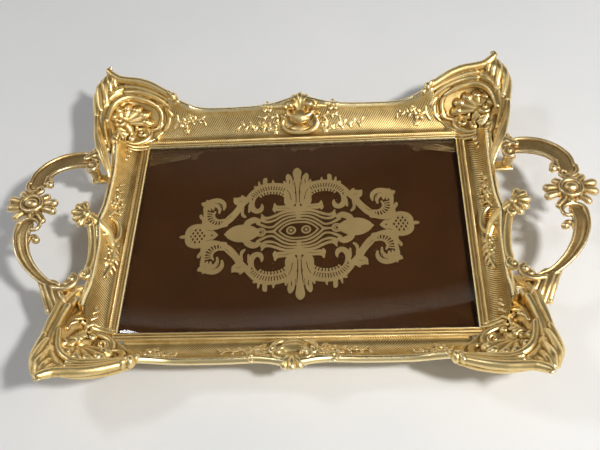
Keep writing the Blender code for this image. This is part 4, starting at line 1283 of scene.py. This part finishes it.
# Threads of one quarter of the medallion: rows of x, y and half width.
END_LOOP = [
    [(88, 0, 1.6), (90.4, 0, 1.5), (92, 0, 0.6)],
    [(73.6, 8.6, 2.4), (79.4, 9.6, 1.9), (84, 7.8, 1.9), (86, 4, 2.0), (86, 0, 2.0)],
    [(62.8, 0, 0.5), (66, 1.4, 2.0), (70.6, 4, 3.0), (74, 8, 2.8)],
    [(61, 7.4, 1.2), (66, 6.6, 1.6), (72, 7.6, 2.2)],
    [(69.6, 0, 2.2), (71, 3, 2.2)],
]
C_SCROLL = [
    [
        (57, 9.4, 2.2), (61, 8.2, 1.5), (66, 8.6, 1.5), (70, 11, 1.6), (72.6, 15, 1.5), (73.2, 21, 1.5),
        (73.4, 27, 1.8)
    ],
    [(73, 12, 2.4), (74, 16, 1.4)],
    [(75, 15.6, 1.0), (76.4, 18.4, 1.4), (76.8, 19.8, 1.0)],
    [(58, 14, 1.0), (62, 14, 0.8), (65.2, 16, 0.8), (66.4, 19.4, 0.8), (65.4, 22.6, 0.8)],
    [
        (58.6, 24.2, 0.8), (58.3, 28, 1.5), (60, 31.6, 1.9), (63.6, 33.8, 2.1), (68, 33.4, 2.2),
        (72, 31.2, 2.6), (74.6, 30.6, 2.0)
    ],
    [(74, 31, 1.6), (75.8, 31.6, 1.2)],
    [(72, 31, 1.4), (72.5, 34.6, 0.7)],
    [(62.2, 21.2, 0.8), (62, 25, 1.3), (64, 29, 2.2), (68, 29.6, 2.6), (72, 28, 2.6)],
    [(67.4, 28, 1.6), (67.2, 25, 0.8)],
    [(70.6, 28, 1.6), (69.8, 24.6, 0.8)],
]
ARM = [
    [
        (41, 31.6, 2.4), (44.2, 28.4, 2.8), (47, 23.6, 2.7), (50, 19, 2.9), (54, 14.2, 3.1),
        (57.4, 10.8, 2.4)
    ],
    [(41, 33, 2.2), (45, 33.2, 2.6), (48.4, 33.2, 1.9), (50.6, 34.8, 0.7)],
    [(43, 34.6, 1.6), (44.6, 37, 0.7)],
    [(46, 29.4, 2.8), (49, 30.6, 1.8), (50.2, 32.6, 1.0)],
    [(43.4, 24.6, 1.0), (44, 20.6, 1.1), (43.3, 17.4, 1.3), (41.6, 15.6, 1.0)],
]
ARCH = [
    [
        (3.6, 34, 2.0), (6, 40, 2.5), (10, 43.6, 2.4), (15, 45.6, 2.0), (21, 46.2, 2.0), (27, 45.4, 2.0),
        (31.6, 43.4, 1.9), (35.6, 39.8, 1.8), (38.8, 35.4, 1.9), (40.4, 31.4, 1.7)
    ],
    [
        (7, 33.6, 1.2), (10.4, 37.2, 0.9), (15, 39.4, 0.9), (21, 40.2, 0.9), (27, 39.2, 0.9),
        (31.8, 36.4, 0.9), (34.6, 32.2, 1.0), (35.8, 27, 1.2)
    ],
    [
        (8.4, 38.2, 1.2), (15, 42.4, 1.7), (21, 43.2, 1.7), (27, 42.2, 1.7), (32, 39.2, 1.6),
        (35.4, 35, 1.3)
    ],
    [(37.6, 34.4, 1.0), (37.4, 30, 1.2), (37.2, 24, 1.3)],
    [
        (36.2, 29.6, 1.6), (36, 24, 2.3), (33, 20.6, 2.2), (29.8, 21.2, 2.1), (28.3, 24.4, 1.3),
        (28.5, 26.8, 0.7)
    ],
    [(38, 27, 1.2), (38.5, 20.4, 0.8)],
    [(19.4, 47.4, 1.2), (19.7, 50.6, 0.6)],
    [(26, 47, 1.8), (26, 51.6, 1.7), (25.4, 53, 1.0)],
    [(30.4, 46, 1.2), (31, 50, 0.6)],
    [(32.4, 44.6, 1.2), (34, 45, 1.1)],
    [(10, 45.4, 1.4), (10.5, 48.8, 0.8)],
    [(9.4, 33.6, 1.4), (9, 27.4, 1.7), (6.4, 24.8, 2.2), (4, 27, 2.2), (3.4, 33, 2.2)],
    [(6.4, 28, 2.4), (6.4, 34, 2.6), (5.6, 38, 2.4)],
]
PLUME = [
    [(0, 24, 1.4), (0, 40, 1.8), (0, 52, 2.8), (0, 57.6, 3.5), (0, 60.6, 1.8)],
    [(3.6, 40, 2.4), (5.6, 48, 3.0), (7.0, 53, 2.3), (7.4, 55.4, 1.1)],
    [(7, 42, 2.2), (9.6, 46, 1.8)],
]
LEAVES = [
    [(2, 21.6, 1.4), (9, 23.2, 1.1), (15, 23.4, 1.2), (17.8, 24.2, 1.4), (18.4, 26.8, 0.6)],
    [(2, 19, 1.2), (10, 20.6, 1.1), (15.4, 20.6, 1.2), (18.6, 21.4, 1.5), (18.2, 18.8, 0.6)],
    [(18, 24, 1.4), (18.8, 21.4, 1.2)],
    [
        (0, 18.4, 1.4), (8, 18.4, 1.1), (13, 17.4, 1.2), (18, 15, 1.2), (23, 13.2, 1.2),
        (26.8, 13.6, 1.4), (28.6, 17, 0.6)
    ],
    [
        (0, 15.8, 1.0), (8, 15.6, 0.9), (13.4, 13.8, 0.9), (18, 10.8, 0.9), (23, 9.4, 1.1),
        (27.2, 10.6, 1.3), (28.4, 13.6, 1.2)
    ],
    [
        (0, 13.2, 1.0), (6, 13, 0.9), (11.6, 11, 0.9), (16, 7.6, 0.9), (20, 4.4, 0.9), (24.6, 4.6, 0.9),
        (29, 6.8, 1.2), (32, 8.4, 1.0)
    ],
    [(0, 10.4, 0.9), (6, 9.8, 0.9), (11.4, 7.4, 0.9), (15.6, 4, 0.9), (19.6, 0, 0.9)],
    [(0, 7.4, 0.7), (5.8, 7, 0.8), (10, 5, 0.7), (13.4, 2, 0.7), (15, 0, 0.7)],
    [(0, 11, 1.6), (0, 26, 1.6)],
]
SOLID_LEAF = [
    [(19, 0, 1.4), (22.4, 0, 1.0), (25.4, 0, 0.8)],
    [(30.6, 10.8, 1.8), (34.6, 12, 2.8), (38.8, 10, 2.8), (40.6, 7.4, 2.4)],
    [(33, 1.6, 2.2), (37.6, 4, 2.8), (43, 5, 3.2), (48, 4.4, 3.2), (52.6, 2.6, 2.4), (56, 0.6, 1.0)],
    [(33, 0, 2.6), (40, 0, 5.0), (48, 0, 4.8), (54, 0, 2.5), (57.2, 0, 0.6)],
]
LACE_THREADS = END_LOOP + C_SCROLL + ARM + ARCH + PLUME + LEAVES + SOLID_LEAF

# Cuts through the threads, as rows of x, y and half width.
LACE_CUTS = [
    [(1.3, 27, 0.35), (1.5, 38, 0.4), (2.4, 48, 0.3)],
    [(3.4, 44, 0.25), (3.8, 52, 0.3)],
    [(6.2, 46, 0.3), (6.2, 50, 0.4)],
    [(5.2, 30, 0.35), (6.4, 36, 0.3), (8.4, 40, 0.3)],
    [(61.4, 26, 0.25), (62.6, 30, 0.3), (66, 31.6, 0.25)],
    [(51, 19.6, 0.2), (54, 16, 0.3), (56.6, 13.6, 0.3)],
    [(44, 31, 0.25), (47, 31.6, 0.3)],
    [(63.6, 4.6, 0.2), (68, 4.2, 0.3), (72, 5.6, 0.2)],
    [(67, 0, 0.7), (67.4, 0, 0.7)],
]
BEAD_CURVE = [(10, 34), (15, 37), (21, 38), (27, 37), (31, 34)]
SLOT_CURVE = [(10, 39.8), (15, 42.2), (21, 43), (27, 42), (32, 39.4), (35.4, 35.6)]
SCROLL_BEADS = [(57.4, 11.8), (61, 11.2), (65, 11.8), (68.2, 14.4), (69.6, 18.4), (69, 22.4)]


def ring_thread(x, y, radius, width, count=17):
    """A round loop of thread."""
    angles = [2 * math.pi * k / (count - 1) for k in range(count)]
    return [(x + radius * math.cos(angle), y + radius * math.sin(angle), width) for angle in angles]


def along(curve, pitch):
    """Places at a steady pitch along a curve, with the way across it at each."""
    fine = smooth([(x, y, 0, 0) for x, y in curve], 0.2)[:, :2]
    run = np.concatenate([[0], np.cumsum(np.linalg.norm(np.diff(fine, axis=0), axis=1))])
    way = unit(np.gradient(fine, axis=0))
    picks = [int(np.argmin(np.abs(run - place))) for place in np.arange(pitch / 2, run[-1], pitch)]
    return [(fine[i], np.array([-way[i, 1], way[i, 0]])) for i in picks]


def lace_lattice():
    """The small net in the end loop."""
    rows = []
    for k in range(-3, 4):
        for hand in (-1, 1):
            points = []
            for t in np.linspace(-8.5, 8.5, 35):
                x, y = 78.4 + 3.5 * k + 0.62 * hand * t, t
                if ((x - 78.4) / 7.4) ** 2 + (y / 8.4) ** 2 < 1:
                    points.append((x, y, 0.6))
            if len(points) > 2:
                rows.append(points)
    return rows


def lace_threads():
    """All threads of one quarter of the medallion."""
    rows = LACE_THREADS + lace_lattice()
    rows += [
        ring_thread(5.8, 0, 3.1, 0.75), ring_thread(29.4, 0, 3.4, 0.8), ring_thread(29.4, 0, 1.6, 0.5)
    ]
    rows += [[(5.8, 0, 1.2), (5.9, 0, 1.2)]]
    for place, across in along(BEAD_CURVE, 2.5):
        top, low = place + 1.6 * across, place - 0.6 * across
        rows.append([(*top, 0.6), (*low, 0.85)])
    for place, across in along(SCROLL_BEADS, 2.3):
        rows.append([(*(place + 2.2 * across), 0.55), (*(place - 2.2 * across), 0.55)])
    return rows


def thread_distance(x, y, rows):
    """Distance to the edge of the nearest of the threads, below 0 inside one."""
    field = np.full(x.shape, 9.0)
    for row in rows:
        path = smooth([(a, b, 0, r) for a, b, r in row], 0.3)
        near = (x > path[:, 0].min() - 6) & (x < path[:, 0].max() + 6)
        near &= (y > path[:, 1].min() - 6) & (y < path[:, 1].max() + 6)
        px, py = x[near], y[near]
        if px.size:
            distance = np.hypot(px[:, None] - path[None, :, 0], py[:, None] - path[None, :, 1])
            field[near] = np.minimum(field[near], (distance - path[None, :, 3]).min(1))
    return field


def lace_field(x, y):
    """Below 0 where there is thread and above 0 in the openings."""
    cuts = list(LACE_CUTS)
    for place, across in along(SLOT_CURVE, 2.1):
        cuts.append([(*(place + 1.8 * across), 0.4), (*(place - 1.6 * across), 0.4)])
    return np.maximum(thread_distance(x, y, lace_threads()), -thread_distance(x, y, cuts))


def clipped_triangles(x, y, field):
    """Triangles of the part of the grid where field is below 0, cut along its zero line."""
    rows, columns = x.shape
    index = np.arange(rows * columns).reshape(rows, columns)
    a, b = index[:-1, :-1].ravel(), index[1:, :-1].ravel()
    c, d = index[1:, 1:].ravel(), index[:-1, 1:].ravel()
    triangles = np.vstack([np.stack([a, b, c], -1), np.stack([a, c, d], -1)])
    place = np.stack([x.ravel(), y.ravel()], -1)
    value = field.ravel()
    made = []
    for turn in range(3):
        corner = np.roll(triangles, turn, axis=1)
        inside = value[corner] < 0
        p = place[corner]
        v = value[corner]

        def cut(i, j):
            t = (v[:, i] / (v[:, i] - v[:, j] + 1e-12))[:, None]
            return p[:, i] + (p[:, j] - p[:, i]) * t

        with np.errstate(all="ignore"):
            one = inside[:, 0] & ~inside[:, 1] & ~inside[:, 2]
            made.append(np.stack([p[:, 0], cut(0, 1), cut(0, 2)], 1)[one])
            two = inside[:, 0] & inside[:, 1] & ~inside[:, 2]
            made.append(np.stack([p[:, 0], p[:, 1], cut(1, 2)], 1)[two])
            made.append(np.stack([p[:, 0], cut(1, 2), cut(0, 2)], 1)[two])
        if turn == 0:
            whole = inside.all(1)
            made.append(p[whole])
    return np.vstack(made)


def lace_mesh(name):
    """The medallion: threads of one quarter, mirrored twice, as a thin corded sheet."""
    columns = int(LACE_REACH[0] / LACE_CELL) + 2
    rows = int(LACE_REACH[1] / LACE_CELL) + 2
    x, y = np.meshgrid(np.arange(columns) * LACE_CELL, np.arange(rows) * LACE_CELL, indexing="ij")
    field = lace_field(x, y)
    quarter = clipped_triangles(x, y, field)
    flat = []
    for side_x, side_y in ((1, 1), (-1, 1), (-1, -1), (1, -1)):
        part = quarter * np.array([side_x, side_y])
        flat.append(part[:, ::-1] if side_x * side_y < 0 else part)
    flat = np.vstack(flat)
    area = 0.5 * np.abs(np.cross(flat[:, 1] - flat[:, 0], flat[:, 2] - flat[:, 0]))
    flat = flat[area > 1e-5]
    points, index = np.unique(np.round(flat.reshape(-1, 2), 3), axis=0, return_inverse=True)
    faces = index.reshape(-1, 3)
    faces = faces[
        (faces[:, 0] != faces[:, 1]) & (faces[:, 1] != faces[:, 2]) & (faces[:, 0] != faces[:, 2])
    ]
    turn = math.radians(LACE_TURN)
    turned = np.stack(
        [
            points[:, 0] * math.cos(turn) - points[:, 1] * math.sin(turn),
            points[:, 0] * math.sin(turn) + points[:, 1] * math.cos(turn) + LACE_SHIFT,
        ],
        -1,
    )
    base = float(LACE_LOW[2]) + 0.02
    form = bmesh.new()
    verts = [form.verts.new((px * MM, py * MM, base * MM)) for px, py in turned]
    for f in faces:
        try:
            form.faces.new([verts[i] for i in f])
        except ValueError:
            continue
    mesh = bpy.data.meshes.new(name)
    form.normal_update()
    form.to_mesh(mesh)
    form.free()
    return mesh, float(area.sum())


def build_lace(material):
    """The lace medallion, laid on the cloth."""
    mesh, area = lace_mesh("lace")
    obj = linked("lace_medallion_openwork", mesh)
    cord = obj.modifiers.new("cord", "SOLIDIFY")
    cord.thickness = 0.26 * MM
    cord.offset = 1.0
    applied(obj)
    obj.data.polygons.foreach_set("use_smooth", [False] * len(obj.data.polygons))
    stands_for(obj, "lace", "frame", material, "lace_medallion")


def build_cloth(cloth, card):
    """The brown cloth, wrapped over the top and edges of its card."""
    low, high = PANEL_LOW, PANEL_HIGH
    thick = 0.35
    under = bevelled_plate(
        "panel_card", low + thick, np.array([*(high[:2] - thick), high[2] - thick]), 0.2, 2
    )
    stands_for(under, "board", "frame", card)
    count_x, count_y = 120, 84
    share_x, share_y = np.linspace(-1, 1, count_x), np.linspace(-1, 1, count_y)
    middle = (low[:2] + high[:2]) / 2
    half = (high[:2] - low[:2]) / 2
    gx, gy = np.meshgrid(share_x * (half[0] - 0.2), share_y * (half[1] - 0.2), indexing="ij")
    ripple = 0.02 * np.sin(gx * 0.7 + 0.3 * np.sin(gy * 0.2)) * np.cos(gy * 0.9)
    points = np.stack([gx + middle[0], gy + middle[1], high[2] - 0.03 + ripple], -1).reshape(-1, 3)
    i, j = np.meshgrid(np.arange(count_x - 1), np.arange(count_y - 1), indexing="ij")
    a = (i * count_y + j).ravel()
    faces = np.stack([a, a + count_y, a + count_y + 1, a + 1], -1).tolist()
    edge = [k * count_y for k in range(count_x)]
    edge += [(count_x - 1) * count_y + k for k in range(1, count_y)]
    edge += [k * count_y + count_y - 1 for k in range(count_x - 2, -1, -1)]
    edge += [k for k in range(count_y - 2, 0, -1)]
    hem = points[edge].copy()
    hem[:, :2] = middle + (hem[:, :2] - middle) * (half / (half - 0.2))
    skirt = [hem.copy(), hem.copy()]
    skirt[0][:, 2] = high[2] - 0.3
    skirt[1][:, 2] = low[2] + 0.1
    start = len(points)
    points = np.vstack([points, *skirt])
    ring = len(edge)
    for k in range(ring):
        n = (k + 1) % ring
        faces.append([edge[n], edge[k], start + k, start + n])
        faces.append([start + n, start + k, start + ring + k, start + ring + n])
    mesh = mesh_of("cloth", points, faces)
    mesh.polygons.foreach_set("use_smooth", [True] * len(mesh.polygons))
    obj = linked("brown_cloth_panel", mesh)
    body = obj.modifiers.new("body", "SOLIDIFY")
    body.thickness = 0.25 * MM
    body.offset = -1.0
    applied(obj)
    stands_for(obj, "brown_fabric", "frame", cloth, "fabric_panel")


# ---------------------------------------------------------------- underside


def dress_frame_nodes(finishes):
    """The CAD nodes that stay as they are get a procedural finish."""
    for name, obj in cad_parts.items():
        if obj.hide_render:
            continue
        for prefix, material in finishes.items():
            if name.startswith(prefix):
                obj.data.materials.clear()
                obj.data.materials.append(material)


# ---------------------------------------------------------------- stage, lights, camera

CAMERA_AT = (45.7, -355.1, 502.5)
CAMERA_DOWN = 53.38
CAMERA_ROLL = -7.26
CAMERA_TURN = -7.05
CAMERA_LENS = 47.4


def build_camera():
    """The camera at the viewing angle of the picture that the tray is matched to."""
    down, roll, turn = (math.radians(a) for a in (CAMERA_DOWN, CAMERA_ROLL, CAMERA_TURN))
    ahead = Vector((math.sin(turn) * math.cos(down), math.cos(turn) * math.cos(down), -math.sin(down)))
    right = Vector((math.cos(turn), -math.sin(turn), 0.0))
    above = right.cross(ahead)
    right_rolled = math.cos(roll) * right + math.sin(roll) * above
    above_rolled = -math.sin(roll) * right + math.cos(roll) * above
    data = bpy.data.cameras.new("camera")
    data.lens = CAMERA_LENS
    data.sensor_width = 36.0
    data.clip_start = 0.01
    data.clip_end = 20.0
    camera = bpy.data.objects.new("camera", data)
    bpy.context.scene.collection.objects.link(camera)
    basis = Matrix((right_rolled, above_rolled, -ahead)).transposed().to_4x4()
    camera.matrix_world = Matrix.Translation(Vector(CAMERA_AT) * MM) @ basis
    bpy.context.scene.camera = camera


def lamp(name, place, target, size, watts, colour, size_y=None):
    """An area lamp aimed at a target."""
    data = bpy.data.lights.new(name, "AREA")
    data.shape = "RECTANGLE" if size_y else "DISK"
    data.size = size
    if size_y:
        data.size_y = size_y
    data.energy = watts
    data.color = colour
    obj = bpy.data.objects.new(name, data)
    bpy.context.scene.collection.objects.link(obj)
    obj.location = place
    aim = Vector(target) - Vector(place)
    obj.rotation_euler = aim.to_track_quat("-Z", "Y").to_euler()
    return obj


# Colour of the room by height, behind the tray and in front of it.
ROOM_BEHIND = [
    (0.0, (1.3, 1.27, 1.22)),
    (0.3, (0.85, 0.83, 0.80)),
    (0.48, (0.025, 0.023, 0.02)),
    (0.92, (0.025, 0.023, 0.02)),
    (1.0, (0.3, 0.3, 0.3)),
]
ROOM_BEFORE = [(0.0, (0.20, 0.20, 0.20)), (1.0, (0.28, 0.28, 0.28))]
FLOOR_HALF = 3.0


def build_lights():
    """One key lamp at the right, a fill at the left, a soft card in front, and the room."""
    lamp("main_lamp", (0.82, -0.55, 1.22), (0, 0, 0), 0.16, 18.5, (1.0, 0.98, 0.94))
    lamp("left_lamp", (-0.95, 0.2, 1.4), (0, 0, 0), 0.3, 4.2, (0.94, 0.97, 1.0))
    lamp("front_card", (0.75, -0.9, 0.55), (0.1, -0.1, 0), 0.9, 1.6, (1.0, 0.99, 0.97), 0.6)
    world = bpy.data.worlds.new("room")
    world.use_nodes = True
    bpy.context.scene.world = world
    nodes, links = world.node_tree.nodes, world.node_tree.links
    place = nodes.new("ShaderNodeTexCoord")
    split = nodes.new("ShaderNodeSeparateXYZ")
    links.new(place.outputs["Generated"], split.inputs["Vector"])
    behind = ramp(nodes, ROOM_BEHIND)
    before = ramp(nodes, ROOM_BEFORE)
    links.new(split.outputs["Z"], behind.inputs["Fac"])
    links.new(split.outputs["Z"], before.inputs["Fac"])
    mix = nodes.new("ShaderNodeMix")
    mix.data_type = "RGBA"
    links.new(spread(nodes, links, split.outputs["Y"], -0.15, 0.15, 0.0, 1.0), mix.inputs["Factor"])
    links.new(before.outputs["Color"], mix.inputs["A"])
    links.new(behind.outputs["Color"], mix.inputs["B"])
    links.new(mix.outputs["Result"], nodes["Background"].inputs["Color"])
    nodes["Background"].inputs["Strength"].default_value = 1.0


def build_floor():
    """The plain floor that the tray stands on."""
    form = bmesh.new()
    bmesh.ops.create_grid(form, x_segments=8, y_segments=8, size=FLOOR_HALF)
    mesh = bpy.data.meshes.new("floor")
    form.to_mesh(mesh)
    form.free()
    mesh.materials.append(paper_material())
    floor = linked("floor", mesh)


def set_look():
    """Plain colour handling."""
    settings = bpy.context.scene.view_settings
    settings.view_transform = "Standard"
    settings.look = "None"


# ---------------------------------------------------------------- the tray

build_camera()
build_lights()
build_floor()
set_look()

# The third and fourth colours, for the hollows, are patina and painted shade.
GILT = gilt_material(
    "antique_gilt",
    (1.0, 0.84, 0.48),
    (0.88, 0.65, 0.28),
    (0.46, 0.29, 0.085),
    (0.08, 0.045, 0.014),
    0.26,
    0.62,
)
BRONZE = gilt_material(
    "bronze_gilt",
    (0.98, 0.80, 0.48),
    (0.70, 0.50, 0.22),
    (0.36, 0.22, 0.075),
    (0.06, 0.034, 0.012),
    0.28,
    0.62,
)
build_rails(GILT)
build_lugs(GILT)
build_corners(GILT)
build_crests(GILT)
build_cartouches(GILT)
build_handles(BRONZE)
build_glass(glass_material())
BOARD = board_material()
build_cloth(
    cloth_material("brown_cloth", (0.0135, 0.0042, 0.0009), (0.035, 0.0120, 0.0024), 700.0, 0.02, 0.0001),
    BOARD,
)
build_lace(
    cloth_material("lace_thread", (0.11, 0.068, 0.027), (0.205, 0.138, 0.06), 900.0, 0.02, 0.00012)
)
STEEL = plain_metal("zinc_steel", (0.62, 0.62, 0.60), (0.34, 0.33, 0.31), 0.3, 0.55)
BRASS = plain_metal("worn_brass", (0.78, 0.58, 0.28), (0.40, 0.27, 0.12), 0.28, 0.55)
dress_frame_nodes(
    {
        "backing_board": BOARD,
        "mitre_brace": STEEL,
        "turn_button": BRASS,
        "corner_screw": STEEL,
        "brace_screw": STEEL,
        "button_screw": BRASS,
        "crest_screw": STEEL,
        "cartouche_screw": STEEL,
        "handle_screw": STEEL,
        "foot": cloth_material("brown_felt", (0.05, 0.03, 0.02), (0.13, 0.09, 0.06), 500.0, 0.3, 0.0002),
    }
)
